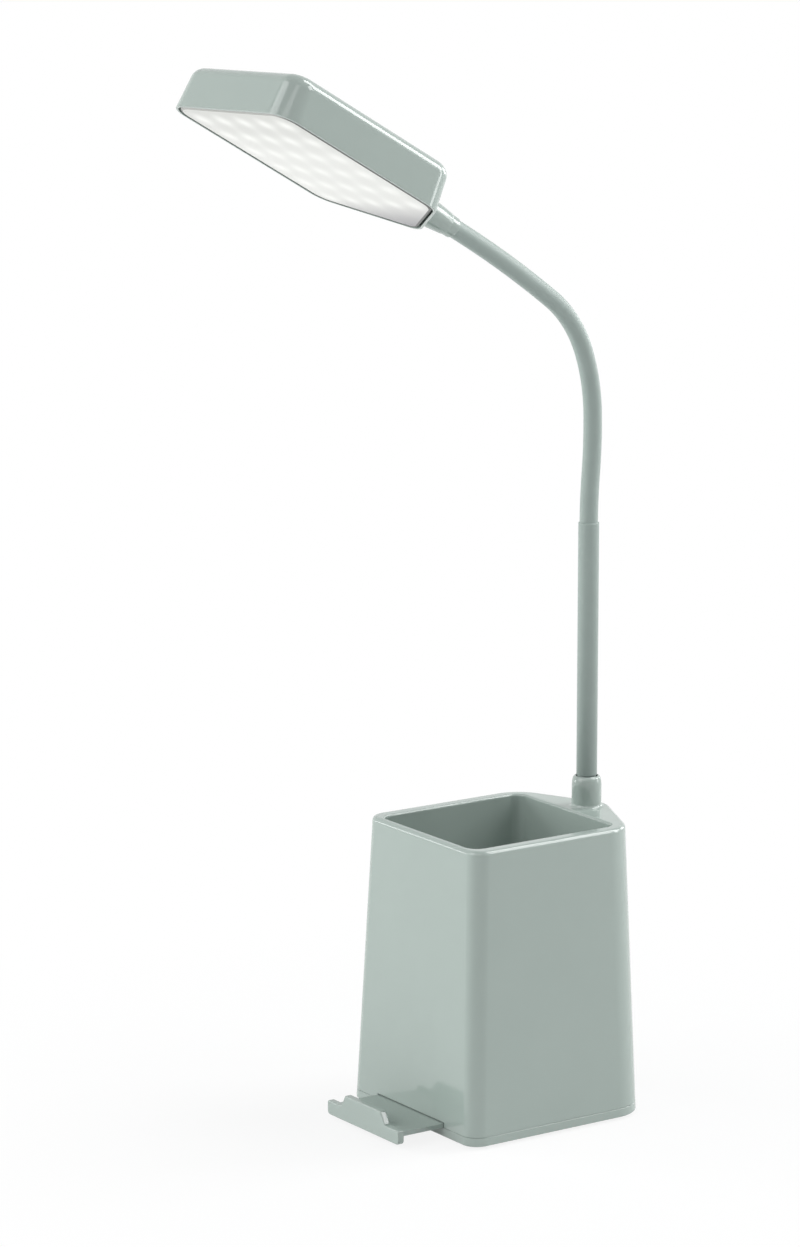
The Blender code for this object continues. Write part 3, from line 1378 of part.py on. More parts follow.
def make_light_board(head):
    """The board for the chips: it follows the head, but stops short of the point."""
    corners = head_corners(LIGHT_BOARD_INSET)
    half, front_y, front_r = corners[0]
    shoulder_y = corners[1][1]
    point_y = corners[2][1]
    back_y = -LIGHT_BOARD_BACK
    back_half = half * (point_y - back_y) / (point_y - shoulder_y)
    outline = rounded([
        (half, front_y, front_r),
        (half, shoulder_y, LIGHT_BOARD_R),
        (back_half, back_y, LIGHT_BOARD_R),
        (-back_half, back_y, LIGHT_BOARD_R),
        (-half, shoulder_y, LIGHT_BOARD_R),
        (-half, front_y, front_r),
    ], FILLET_STEPS)
    low = LIGHT_BOARD_Z
    high = LIGHT_BOARD_Z + LIGHT_BOARD_THICK
    board = loft("light_board", [(outline, low), (outline, high)], "aluminium board", head)
    for index, place in enumerate(head_post_places()):
        hole = rod("light board hole " + str(index), SCREW_HOLE_R, low - OVERRUN, high + OVERRUN,
                   place, parent=head)
        boolean(board, hole)
    boolean(board, chip_cutter(head), "UNION")
    return board


def chip_cutter(head):
    """Five columns and six rows of small light sources, as blocks that reach into the board."""
    low = LIGHT_BOARD_Z - CHIP_HEIGHT
    high = LIGHT_BOARD_Z + LIGHT_BOARD_THICK / 2
    bm = bmesh.new()
    for column in range(CHIP_COLUMNS):
        for row in range(CHIP_ROWS):
            x = (column - (CHIP_COLUMNS - 1) / 2) * CHIP_PITCH_X
            y = chip_front_y() + row * CHIP_PITCH_Y
            place = Matrix.Translation((x, y, (low + high) / 2))
            size = Matrix.Diagonal((CHIP_WIDTH, CHIP_LENGTH, high - low, 1))
            bmesh.ops.create_cube(bm, size=1, matrix=place @ size)
    return mesh_object("light chips", bm, parent=head, smooth=False)


def make_head_screws(head):
    head_z = LIGHT_BOARD_Z - SEAT_GAP - SCREW_HEAD
    for index, place in enumerate(head_post_places(), 1):
        screw("head_screw_" + str(index), place, head_z, HEAD_SCREW_LENGTH, parent=head)


def make_head_lead(head):
    """The lead from the end of the neck's core to the light board."""
    core_end = -CORE_IN_HEAD - SEAT_GAP
    board_top = LIGHT_BOARD_Z + LIGHT_BOARD_THICK + SEAT_GAP + LEAD_R
    lead("head_lead", [
        (0, core_end - LEAD_SLACK / 2, HEAD_AXIS_Z),
        (0, core_end - 3 * LEAD_SLACK, HEAD_AXIS_Z + LEAD_SLACK / 2),
        (0, -LIGHT_BOARD_BACK, board_top + LEAD_SLACK / 2),
        (0, -LIGHT_BOARD_BACK - LEAD_SLACK, board_top + LEAD_R / 4),
        (0, -LIGHT_BOARD_BACK - 3 * LEAD_SLACK, board_top),
    ], parent=head)


def make_base():
    middle, inward, turn = rear_wall()
    wall = frame("rear_wall_frame", location=(middle.x, middle.y, 0), turn=turn)
    bpy.context.view_layer.update()
    make_base_shell()
    make_bottom_cover()
    make_desk_pad()
    make_cover_screws()
    make_tray_carrier()
    make_carrier_screws()
    make_phone_tray()
    make_battery_cell()
    make_counterweight()
    make_control_board(wall)
    make_board_screws()
    make_usb_socket(wall)
    make_tact_switch(wall)
    make_power_button(wall)
    make_base_leads()
    make_stem()


def make_neck_and_head():
    frames = neck_frames()
    for index, parent in enumerate(frames):
        make_neck_segment(index, parent)
    spot, lean = local_line(station_length(STATION_COUNT), [NECK_LENGTH])[0]
    tail = frame("neck_end", frames[-1], spot, lean)
    level = frame("head_level", tail, tilt=-math.pi / 2)
    twist = frame("head_twist", level, (0, -COLLAR_LENGTH, 0), roll=-HEAD_ROLL)
    head = frame("head_frame", twist, (0, 0, -HEAD_AXIS_Z))
    make_head_housing(head)
    make_head_collar(head)
    make_diffuser(head)
    make_light_board(head)
    make_head_screws(head)
    make_head_lead(head)


make_base()
make_neck_and_head()
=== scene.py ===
# %% [markdown]
# # A small table lamp
#
# The lamp stands on a five-sided base. A deep cup is moulded into it, and a shallow tray slides
# out of its foot. A straight stem and a bendable neck carry a flat head that is pointed at the
# back, with a white diffuser underneath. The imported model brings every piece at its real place,
# and this lesson gives the ones that show their smooth surfaces and finishes.

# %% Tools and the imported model
import json
import math

import bmesh
import bpy
from mathutils import Matrix, Vector


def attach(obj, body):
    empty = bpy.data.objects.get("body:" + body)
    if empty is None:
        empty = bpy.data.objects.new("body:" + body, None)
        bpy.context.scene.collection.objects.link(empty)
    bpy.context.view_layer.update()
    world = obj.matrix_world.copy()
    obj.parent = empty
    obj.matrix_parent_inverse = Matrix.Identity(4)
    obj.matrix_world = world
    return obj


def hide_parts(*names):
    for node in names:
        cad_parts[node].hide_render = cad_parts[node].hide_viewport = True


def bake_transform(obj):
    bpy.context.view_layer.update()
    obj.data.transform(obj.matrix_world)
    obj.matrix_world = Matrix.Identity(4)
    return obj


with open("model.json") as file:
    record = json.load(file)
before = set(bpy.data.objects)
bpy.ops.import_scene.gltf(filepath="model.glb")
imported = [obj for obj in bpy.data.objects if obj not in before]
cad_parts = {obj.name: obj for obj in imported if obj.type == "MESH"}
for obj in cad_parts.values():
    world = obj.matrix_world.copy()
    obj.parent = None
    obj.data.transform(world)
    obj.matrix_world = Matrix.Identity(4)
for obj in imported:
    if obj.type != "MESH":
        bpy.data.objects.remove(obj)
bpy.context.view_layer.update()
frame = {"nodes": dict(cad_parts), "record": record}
MM = 0.001

# %% [markdown]
# ## The camera
#
# The photograph looks at the lamp from its front right and a little from above. The long side
# of the frame is upright, and Blender's automatic sensor fit gives the sensor's width to the
# long side, so one lens length is enough to set the size of the lamp in the frame.

# %% Place the camera
CAMERA_PLACE = (1.49773, -1.07627, 0.58696)
CAMERA_LENS, SENSOR_WIDTH = 133.92, 36
DEGREES_DOWN, DEGREES_ROUND = 11.72, 55.537

camera_data = bpy.data.cameras.new("photo camera")
camera_data.lens = CAMERA_LENS
camera_data.sensor_width = SENSOR_WIDTH
camera_data.clip_start = 0.05
camera_data.clip_end = 20
camera = bpy.data.objects.new("photo camera", camera_data)
bpy.context.scene.collection.objects.link(camera)
camera.location = CAMERA_PLACE
camera.rotation_euler = (math.radians(90 - DEGREES_DOWN), 0, math.radians(DEGREES_ROUND))
bpy.context.scene.camera = camera
print("Camera is", round(camera.location.length, 3), "m from the foot of the lamp")

# %% [markdown]
# ## Light, floor and sky
#
# A product shot has large soft lights and no hard shadow. Three panels stand in front and at the
# near corner, and two on the right. A tall panel behind draws the bright lines on the head's rear
# edges, and a low one beside it lights the back of the base. The big left panel only lights: its
# mirror image would turn the flat roof white from behind, so a low strip beside it draws the
# lines on the front edges. The world adds a plain pale level. Where the camera, a mirror or clear
# plastic looks past the lamp, Light Path makes the background white without adding any light.

# %% Floor and world
WHITE = (1, 1, 1, 1)
FLOOR_HALF, FLOOR_DROP = 6, 0.0002
FADE_START, FADE_END, LEAST_WHITE = 0.1, 0.32, 0.86

scene = bpy.context.scene
scene.view_settings.view_transform = "Standard"


def coloured(tree, kind, colour, strength=None):
    """Adds a shader node of one colour, and of one strength where it has any."""
    made = tree.nodes.new(kind)
    made.inputs["Color"].default_value = colour
    if strength is not None:
        made.inputs["Strength"].default_value = strength
    return made.outputs[0]


def white_where_seen(tree, shader, white, share=None):
    """Puts a white shader for another one where a camera, glossy or clear ray meets it."""
    path = tree.nodes.new("ShaderNodeLightPath")
    seen = path.outputs["Is Camera Ray"]
    steps = [("MAXIMUM", path.outputs[ray]) for ray in ("Is Glossy Ray", "Is Transmission Ray")]
    if share is not None:
        steps.append(("MULTIPLY", share))
    for operation, other in steps:
        step = tree.nodes.new("ShaderNodeMath")
        step.operation = operation
        tree.links.new(seen, step.inputs[0])
        tree.links.new(other, step.inputs[1])
        seen = step.outputs[0]
    mix = tree.nodes.new("ShaderNodeMixShader")
    for index, socket in enumerate((seen, shader, white)):
        tree.links.new(socket, mix.inputs[index])
    return mix.outputs[0]


world = bpy.data.worlds.new("studio")
scene.world = world
world.use_nodes = True
sky = world.node_tree
sky.nodes.clear()
level = coloured(sky, "ShaderNodeBackground", (0.96, 0.98, 1.0, 1), 0.2)
plain = coloured(sky, "ShaderNodeBackground", WHITE, 1.0)
world_out = sky.nodes.new("ShaderNodeOutputWorld")
sky.links.new(white_where_seen(sky, level, plain), world_out.inputs[0])

floor_mesh = bpy.data.meshes.new("floor")
bm = bmesh.new()
bmesh.ops.create_grid(bm, x_segments=1, y_segments=1, size=FLOOR_HALF)
bm.to_mesh(floor_mesh)
bm.free()
floor = bpy.data.objects.new("floor", floor_mesh)
scene.collection.objects.link(floor)
floor.location.z = -FLOOR_DROP
floor_look = bpy.data.materials.new("pale floor")
floor_look.use_nodes = True
ground = floor_look.node_tree
ground.nodes.clear()
matt = coloured(ground, "ShaderNodeBsdfDiffuse", (0.86, 0.87, 0.87, 1))
glow = coloured(ground, "ShaderNodeEmission", WHITE, 1.0)
# Close to the lamp a part of the matt floor shows, with the lamp's shadow on it.
spot = ground.nodes.new("ShaderNodeTexCoord")
away = ground.nodes.new("ShaderNodeVectorMath")
away.operation = "LENGTH"
ground.links.new(spot.outputs["Object"], away.inputs[0])
fade = ground.nodes.new("ShaderNodeMapRange")
fade.interpolation_type = "SMOOTHSTEP"
ground.links.new(away.outputs["Value"], fade.inputs[0])
for index, value in enumerate((FADE_START, FADE_END, LEAST_WHITE, 1.0), start=1):
    fade.inputs[index].default_value = value
floor_out = ground.nodes.new("ShaderNodeOutputMaterial")
ground.links.new(white_where_seen(ground, matt, glow, fade.outputs[0]), floor_out.inputs[0])
floor_mesh.materials.append(floor_look)
print("Floor and world are white to the camera")

# %% Lights
LOW_AIM, AIM, HIGH_AIM = (0, 0, 0.1), (0, 0, 0.2), (0, 0, 0.3)


def soft_light(name, place, target, size, power, mirrored=True):
    """A rectangular light turned to a target; glossy pieces mirror it only if mirrored is true."""
    data = bpy.data.lights.new(name, "AREA")
    data.shape = "RECTANGLE"
    data.size, data.size_y = size
    data.energy = power
    lamp = bpy.data.objects.new(name, data)
    scene.collection.objects.link(lamp)
    lamp.location = place
    aim = Vector(target) - Vector(place)
    lamp.rotation_euler = aim.to_track_quat("-Z", "Y").to_euler()
    lamp.visible_camera = False
    lamp.visible_glossy = mirrored
    return lamp


lights = [
    soft_light("front panel", (-0.05, -1.45, 0.83), AIM, (1.0, 1.0), 6.0),
    soft_light("high front panel", (-0.29, -1.09, 1.28), AIM, (0.9, 0.5), 3.0),
    soft_light("corner panel", (0.8, -0.9, 1.0), AIM, (0.9, 0.8), 2.6),
    soft_light("left panel", (-1.22, -1.03, 0.45), AIM, (0.8, 0.8), 13.5, False),
    soft_light("low left strip", (-1.22, -0.95, 0.16), AIM, (0.4, 0.2), 1.3),
    soft_light("right panel", (1.0, 0.84, 1.07), LOW_AIM, (0.6, 0.6), 5.5),
    soft_light("low right strip", (0.66, 1.36, 0.42), LOW_AIM, (0.35, 0.7), 2.6),
    soft_light("rear panel", (0.3, 1.12, 1.25), AIM, (0.6, 1.5), 17),
    soft_light("low rear panel", (-0.3, 1.5, 0.5), HIGH_AIM, (0.5, 0.5), 3),
]
print("Lights:", ", ".join(lamp.name for lamp in lights))

# %% [markdown]
# ## Writing shader maths as Python
#
# A material that varies over a surface is a small formula. Wrapping a socket in a class that
# knows +, -, * and ** lets the formula be written as Python, and each operator adds its Math
# node. Colours go through Mix nodes, because a Math node would turn them grey.

# %% A socket that does arithmetic


class Value:
    """A number that varies over a surface: the output of a node in one material."""

    def __init__(self, look, socket):
        self.look = look
        self.socket = socket

    def _math(self, operation, *values):
        return self.look.node("ShaderNodeMath", {"operation": operation}, values)

    def __add__(self, other):
        return self._math("ADD", self, other)

    def __sub__(self, other):
        return self._math("SUBTRACT", self, other)

    def __mul__(self, other):
        return self._math("MULTIPLY", self, other)

    def __radd__(self, other):
        return self._math("ADD", other, self)

    def __rsub__(self, other):
        return self._math("SUBTRACT", other, self)

    def __rmul__(self, other):
        return self._math("MULTIPLY", other, self)

    def __pow__(self, other):
        return self._math("POWER", self, other)

    def absolute(self):
        return self._math("ABSOLUTE", self)

    def cosine(self):
        return self._math("COSINE", self)

    def smooth(self, low, high):
        """0 below low, 1 above high, and a smooth step between them."""
        settings = {"interpolation_type": "SMOOTHSTEP"}
        return self.look.node("ShaderNodeMapRange", settings, [self, low, high, 0.0, 1.0])


class Look:
    """A material under construction, around one Principled shader."""

    def __init__(self, name):
        self.material = bpy.data.materials.new(name)
        self.material.use_nodes = True
        self.tree = self.material.node_tree
        self.shader = self.tree.nodes["Principled BSDF"]
        self.place = self.node("ShaderNodeTexCoord", {}, [], "Object")

    def node(self, kind, settings, values, output=0):
        """Adds a node, sets it, feeds its inputs in order or by name, and returns an output."""
        made = self.tree.nodes.new(kind)
        for key, setting in settings.items():
            setattr(made, key, setting)
        pairs = values.items() if isinstance(values, dict) else enumerate(values)
        for key, value in pairs:
            self.feed(made.inputs[key], value)
        return Value(self, made.outputs[output])

    def feed(self, socket, value):
        if isinstance(value, Value):
            self.tree.links.new(value.socket, socket)
        else:
            socket.default_value = value

    def set(self, **inputs):
        """Sets or links the shader's inputs, with underscores for the spaces in their names."""
        for key, value in inputs.items():
            self.feed(self.shader.inputs[key.replace("_", " ")], value)
        return self.material

    def noise(self, scale, detail=2.0, roughness=0.5):
        values = {"Vector": self.place, "Scale": scale, "Detail": detail, "Roughness": roughness}
        return self.node("ShaderNodeTexNoise", {}, values, "Fac")

    def along(self, direction, origin):
        """Distance of a surface point from an origin along a direction, in metres."""
        settings = {"operation": "SUBTRACT"}
        shifted = self.node("ShaderNodeVectorMath", settings, [self.place, tuple(origin)])
        settings = {"operation": "DOT_PRODUCT"}
        return self.node("ShaderNodeVectorMath", settings, [shifted, tuple(direction)], "Value")

    def mix(self, share, first, second):
        """A colour between two colours."""
        made = self.tree.nodes.new("ShaderNodeMix")
        made.data_type = "RGBA"
        for key, value in ((0, share), (6, first), (7, second)):
            self.feed(made.inputs[key], value)
        return Value(self, made.outputs[2])

    def bump(self, height, distance, strength):
        values = {"Strength": strength, "Distance": distance, "Height": height}
        return self.node("ShaderNodeBump", {}, values, "Normal")


def shade(red, green, blue):
    """A colour from the 0 to 255 values that a screen shows."""
    def linear(value):
        value = value / 255
        return value / 12.92 if value <= 0.04045 else ((value + 0.055) / 1.055) ** 2.4

    return (linear(red), linear(green), linear(blue), 1.0)


print("A mid grey of 188 is", round(shade(188, 188, 188)[0], 3), "in linear light")

# %% [markdown]
# ## The finishes
#
# The base and the head are moulded in a grey-green plastic with a high gloss. Even a polished
# mould leaves a very faint waviness, like the skin of an orange, that makes reflections swim a
# little, and handling leaves faint patches where the gloss is a touch lower. Both are in the
# roughness and the bump, and the colour itself hardly changes.

# %% Glossy sage plastic


def glossy_plastic(name, colour, deeper):
    look = Look(name)
    cloud = look.noise(38.0, 3.0)
    handling = look.noise(95.0, 4.0, 0.6).smooth(0.45, 0.8)
    tone = look.mix(cloud, colour, deeper)
    skin = look.bump(look.noise(260.0, 1.0), 0.01 * MM, 0.2)
    return look.set(
        Base_Color=tone,
        Roughness=0.08 + 0.06 * handling,
        Normal=skin,
        Specular_IOR_Level=0.8,
    )


sage = glossy_plastic("glossy sage plastic", shade(162, 175, 169), shade(158, 171, 165))
print("Base and head:", sage.name)

# %% [markdown]
# The neck is wrapped in silicone rubber. It is a little darker than the plastic and has a
# satin surface that scatters light widely, with a fine grain and a trace of dust.

# %% Satin silicone


def satin_rubber(name, colour, dusty, roughness=0.45, grain=900.0, depth=0.004 * MM):
    look = Look(name)
    dust = look.noise(160.0, 4.0, 0.65).smooth(0.5, 0.85)
    fine = look.noise(grain, 2.0)
    return look.set(
        Base_Color=look.mix(0.35 * dust, colour, dusty),
        Roughness=roughness + 0.1 * dust,
        Normal=look.bump(fine, depth, 0.4),
        Sheen_Weight=0.08,
        Sheen_Roughness=0.5,
    )


silicone = satin_rubber("sage silicone", shade(152, 165, 160), shade(164, 176, 171))
rubber = satin_rubber("black pad rubber", shade(38, 38, 39), shade(70, 70, 70), 0.8, 1400.0, 0.03 * MM)
print("Neck:", silicone.name, "and pad:", rubber.name)

# %% [markdown]
# Inside, the pieces are ordinary hardware: plated steel, a green control board, a white light
# board, a wrapped cell and red leads. They show only through the ports, but each has its own
# finish, so that an opened lamp looks right too.

# %% Hardware finishes


def plated_steel():
    look = Look("plated steel")
    streaks = look.noise(900.0, 3.0, 0.7)
    return look.set(
        Base_Color=look.mix(streaks, shade(186, 187, 189), shade(168, 170, 172)),
        Metallic=1.0,
        Roughness=0.26 + 0.14 * streaks,
    )


def moulded(name, colour, deeper, roughness, grain=1500.0):
    look = Look(name)
    fine = look.noise(grain, 2.0)
    return look.set(
        Base_Color=look.mix(look.noise(70.0), colour, deeper),
        Roughness=roughness + 0.1 * fine,
        Normal=look.bump(fine, 0.02 * MM, 0.4),
    )


def board_green():
    """Solder mask over copper tracks: fine straight bands, a little lighter than the mask."""
    look = Look("green solder mask")
    bands = look.node("ShaderNodeTexWave", {"bands_direction": "X"},
                      {"Vector": look.place, "Scale": 260.0, "Distortion": 4.0}, "Fac")
    tracks = bands.smooth(0.62, 0.7)
    return look.set(
        Base_Color=look.mix(tracks, shade(22, 74, 44), shade(40, 104, 62)),
        Roughness=0.32,
        Normal=look.bump(tracks, 0.03 * MM, 0.5),
    )


finishes = {
    "steel": plated_steel(),
    "white_plastic": moulded("white moulding", shade(232, 232, 229), shade(226, 226, 222), 0.42),
    "board_green": board_green(),
    "board_aluminium": moulded("white light board", shade(240, 240, 236), shade(233, 233, 229), 0.3),
    "cell_wrap": moulded("blue cell wrap", shade(40, 78, 150), shade(34, 68, 136), 0.28, 700.0),
    "wire_red": moulded("red lead", shade(176, 34, 26), shade(158, 28, 22), 0.4),
    "switch_black": moulded("black switch", shade(46, 46, 48), shade(38, 38, 40), 0.38),
    "sage_plastic": sage,
    "sage_silicone": silicone,
    "dark_rubber": rubber,
}
slot_of = {part["node"]: part["material_slot"] for part in frame["record"]["subparts"]}
for node_name, node in frame["nodes"].items():
    slot = slot_of[node_name]
    if slot in finishes:
        node.data.materials.clear()
        node.data.materials.append(finishes[slot])
print("Finishes on the packed nodes:", len(finishes))

# %% [markdown]
# ## Outlines with round corners
#
# The base and the head share one plan: a box whose back is drawn to a point. Both are made the
# same way, as rings of points round that plan at rising heights. A ring needs the same number
# of points as the next, so each corner always gets the same count, whatever its radius.

# %% Plan outlines
CORNER_STEPS = 14
LEAST_RADIUS = 0.2 * MM


def moved(corners, outward):
    """Corners moved square to both of their edges; the list runs anticlockwise."""
    points = [Vector(corner[:2]) for corner in corners]
    result = []
    for index, point in enumerate(points):
        before = (point - points[index - 1]).normalized()
        after = (points[(index + 1) % len(points)] - point).normalized()
        out_before = Vector((before.y, -before.x))
        out_after = Vector((after.y, -after.x))
        shift = (out_before + out_after) * outward / (1 + out_before.dot(out_after))
        result.append(point + shift)
    return result


def inset(corners, depth):
    """The outline moved in, with radii that shrink or grow with it."""
    points = moved(corners, -depth)
    return [(p.x, p.y, max(c[2] - depth, LEAST_RADIUS)) for p, c in zip(points, corners)]


def rounded(corners, steps=CORNER_STEPS):
    """Points round a convex outline, with an arc at each (x, y, radius) corner."""
    points = []
    for index, (x, y, radius) in enumerate(corners):
        here = Vector((x, y))
        before = (Vector(corners[index - 1][:2]) - here).normalized()
        after = (Vector(corners[(index + 1) % len(corners)][:2]) - here).normalized()
        half = before.angle(after) / 2
        centre = here + (before + after).normalized() * (radius / math.sin(half))
        first = here + before * (radius / math.tan(half)) - centre
        start = math.atan2(first.y, first.x)
        sweep = math.pi - 2 * half
        for step in range(steps + 1):
            angle = start + sweep * step / steps
            points.append((centre.x + radius * math.cos(angle), centre.y + radius * math.sin(angle)))
    return points


def rectangle(half_x, half_y, radius):
    return [(half_x, -half_y, radius), (half_x, half_y, radius),
            (-half_x, half_y, radius), (-half_x, -half_y, radius)]


def pointed_box(half, front, shoulder, apex, front_r, shoulder_r, apex_r):
    """A box drawn to a point at the back: its (x, y, radius) corners, anticlockwise."""
    return [(half, front, front_r), (half, shoulder, shoulder_r), (0, apex, apex_r),
            (-half, shoulder, shoulder_r), (-half, front, front_r)]


def quarter(count):
    """Sine and one minus cosine through a quarter turn, for rounding an edge."""
    for step in range(count + 1):
        angle = math.pi / 2 * step / count
        yield math.sin(angle), 1 - math.cos(angle)


def top_edge(ring, top, radius, steps, wall=0.0):
    """Sections that round a block towards its top; ring gives the outline at a height and distance."""
    turns = [(top - radius + radius * rise, draw) for rise, draw in quarter(steps)]
    return [(ring(height, wall + radius * draw), height) for height, draw in turns]


def foot_edge(ring, foot, radius, steps, side=1):
    """Sections that round a block from its foot up; side is -1 where its distance runs outwards."""
    turns = [(foot + radius * (1 - rise), draw) for rise, draw in quarter(steps)]
    return [(ring(height, side * radius * draw), height) for height, draw in reversed(turns)]


DECK, PARTING, FOOT = 122 * MM, 4.5 * MM, 1.0 * MM
SEAT = 0.3 * MM
BASE_WALL, ROOF = 2.2 * MM, 2.4 * MM
FLARE = 5.0 * MM
BASE_HALF, BASE_FRONT, SHOULDER_Y, APEX_Y = 39.2 * MM, -38.4 * MM, 38.3 * MM, 56.3 * MM
BASE_PLAN = pointed_box(BASE_HALF, BASE_FRONT, SHOULDER_Y, APEX_Y, 7 * MM, 16 * MM, 10.2 * MM)


def base_plan(height, depth=0.0):
    """The base's outline at a height: it spreads towards the foot."""
    outward = FLARE * (1 - height / DECK)
    spread = [(p.x, p.y, c[2]) for p, c in zip(moved(BASE_PLAN, outward), BASE_PLAN)]
    return inset(spread, depth)


def base_ring(height, depth=0.0):
    return rounded(base_plan(height, depth))


print("Points in one ring of the base:", len(base_ring(0)))

# %% [markdown]
# ## Building, cutting and smoothing
#
# Rings joined one to the next give a closed block, and Boolean cuts hollow it out. A cut leaves
# large flat faces beside narrow round ones. Smooth shading alone would bend the light on the
# flats, so a Weighted Normal step lets the largest face at each corner set the direction.

# %% Mesh helpers
MERGE, REPEAT = 0.001 * MM, 0.01 * MM
SHARP_ANGLE, SOFT_ANGLE = 32, 50


def new_piece(name, bm, material=None):
    """An object at the origin from a bmesh, with its faces pointing out."""
    bmesh.ops.remove_doubles(bm, verts=bm.verts, dist=MERGE)
    bmesh.ops.recalc_face_normals(bm, faces=bm.faces)
    data = bpy.data.meshes.new(name)
    bm.to_mesh(data)
    bm.free()
    piece = bpy.data.objects.new(name, data)
    scene.collection.objects.link(piece)
    if material:
        data.materials.append(material)
    return piece


def block(name, sections, material=None, place=None):
    """A closed block through (ring, height) sections, low to high."""
    bm = bmesh.new()
    rings = [[bm.verts.new((x, y, z)) for x, y in ring] for ring, z in sections]
    count = len(rings[0])
    for lower, upper in zip(rings, rings[1:]):
        for index in range(count):
            after = (index + 1) % count
            bm.faces.new((lower[index], lower[after], upper[after], upper[index]))
    bm.faces.new(rings[0][::-1])
    bm.faces.new(rings[-1])
    if place:
        bm.transform(place)
    return new_piece(name, bm, material)


def rod(name, radius, low, high, xy=(0, 0), place=None, steps=48):
    bm = bmesh.new()
    middle = Matrix.Translation((xy[0], xy[1], (low + high) / 2))
    bmesh.ops.create_cone(bm, cap_ends=True, segments=steps, radius1=radius, radius2=radius,
                          depth=high - low, matrix=middle)
    if place:
        bm.transform(place)
    return new_piece(name, bm)


def brick(name, low, high):
    bm = bmesh.new()
    low, high = Vector(low), Vector(high)
    size = Matrix.Diagonal((*(high - low), 1))
    bmesh.ops.create_cube(bm, size=1, matrix=Matrix.Translation((low + high) / 2) @ size)
    return new_piece(name, bm)


def turned(name, profile, place, material=None):
    """A closed profile of (radius, height) points, without its repeats, spun round the Z axis."""
    kept = profile[:1]
    for point in profile[1:]:
        if math.dist(point, kept[-1]) > REPEAT:
            kept.append(point)
    bm = bmesh.new()
    points = [bm.verts.new((radius, 0, height)) for radius, height in kept]
    edges = [bm.edges.new((points[i], points[(i + 1) % len(points)])) for i in range(len(points))]
    bmesh.ops.spin(bm, geom=points + edges, cent=(0, 0, 0), axis=(0, 0, 1),
                   angle=2 * math.pi, steps=64, use_duplicate=False)
    bmesh.ops.remove_doubles(bm, verts=bm.verts, dist=MERGE)
    loose = [edge for edge in bm.edges if not edge.link_faces]
    bmesh.ops.delete(bm, geom=loose, context="EDGES")
    bm.transform(place)
    return new_piece(name, bm, material)


def apply_modifiers(piece):
    """Replaces the mesh by what its modifiers make of it, and removes them."""
    graph = bpy.context.evaluated_depsgraph_get()
    data = bpy.data.meshes.new_from_object(piece.evaluated_get(graph))
    old = piece.data
    piece.modifiers.clear()
    piece.data = data
    data.name = piece.name
    bpy.data.meshes.remove(old)


def combine(piece, tool, operation):
    """One Boolean step, applied at once; the tool is used up."""
    step = piece.modifiers.new(operation, "BOOLEAN")
    step.operation = operation
    step.object = tool
    apply_modifiers(piece)
    old = tool.data
    bpy.data.objects.remove(tool, do_unlink=True)
    bpy.data.meshes.remove(old)


def cut(piece, *tools):
    for tool in tools:
        combine(piece, tool, "DIFFERENCE")


def join(piece, *tools):
    for tool in tools:
        combine(piece, tool, "UNION")


def smooth(piece, angle=SHARP_ANGLE):
    """Smooth shading with sharp edges kept, and normals led by the largest faces."""
    piece.data.shade_smooth()
    piece.data.set_sharp_from_angle(angle=math.radians(angle))
    weigh = piece.modifiers.new("weigh normals", "WEIGHTED_NORMAL")
    weigh.keep_sharp = True
    weigh.weight = 100
    apply_modifiers(piece)
    return piece


print("Helpers for blocks, rods, turned shapes and cuts are ready")

# %% [markdown]
# ## The base
#
# The base is one moulding: outer walls that flare towards the foot, a flat deck with a rounded
# rim, a deep cup with drafted walls and a small lip radius, a hollow foot for the works, and a
# raised collar with a filleted foot where the neck goes in. Cutting hollows out of a block keeps
# its walls even, as a mould does. The block comes first, then its hollow, then the collar, the
# cup's walls and the screw posts, and last the holes.

# %% The cup and the collar
CUP_HALF = (33.3 * MM, 35.5 * MM)
CUP_CORNER, CUP_DRAFT, CUP_WALL = 5 * MM, 1.2 * MM, 1.8 * MM
CUP_FLOOR, CUP_FLOOR_R, CUP_LIP = 30 * MM, 2 * MM, 1 * MM
NECK_Y = APEX_Y - 10.8 * MM
BOSS_TOP = 135 * MM
OVER = 2 * MM


def cup_ring(height, outward=0.0):
    grow = outward - CUP_DRAFT * (DECK - height) / (DECK - CUP_FLOOR)
    radius = max(CUP_CORNER + grow, LEAST_RADIUS)
    return rounded(rectangle(CUP_HALF[0] + grow, CUP_HALF[1] + grow, radius), steps=12)


def cup_hollow():
    sections = foot_edge(cup_ring, CUP_FLOOR, CUP_FLOOR_R, 6, side=-1)
    sections += top_edge(cup_ring, DECK, CUP_LIP, 6)
    sections.append((cup_ring(DECK, CUP_LIP), DECK + OVER))
    return block("cup hollow", sections)


def boss():
    """The collar: a small top edge, a rounded shoulder and a concave foot on the deck."""
    body_r, top_r, foot_r, shoulder = 6.2 * MM, 5.2 * MM, 1.4 * MM, 4.5 * MM
    edge = 0.25 * MM
    profile = [(0, BOSS_TOP), (top_r - edge, BOSS_TOP), (top_r, BOSS_TOP - edge)]
    for rise, draw in reversed(list(quarter(10))):
        height = BOSS_TOP - edge - (shoulder - edge) * (1 - rise)
        profile.append((body_r - (body_r - top_r) * draw, height))
    for rise, draw in reversed(list(quarter(8))):
        profile.append((body_r + foot_r * (1 - rise), DECK + foot_r * draw))
    profile += [(body_r + foot_r, DECK - MM), (0, DECK - MM)]
    return turned("boss", profile, Matrix.Translation((0, NECK_Y, 0)))


print("The cup is", round((DECK - CUP_FLOOR) / MM), "mm deep")

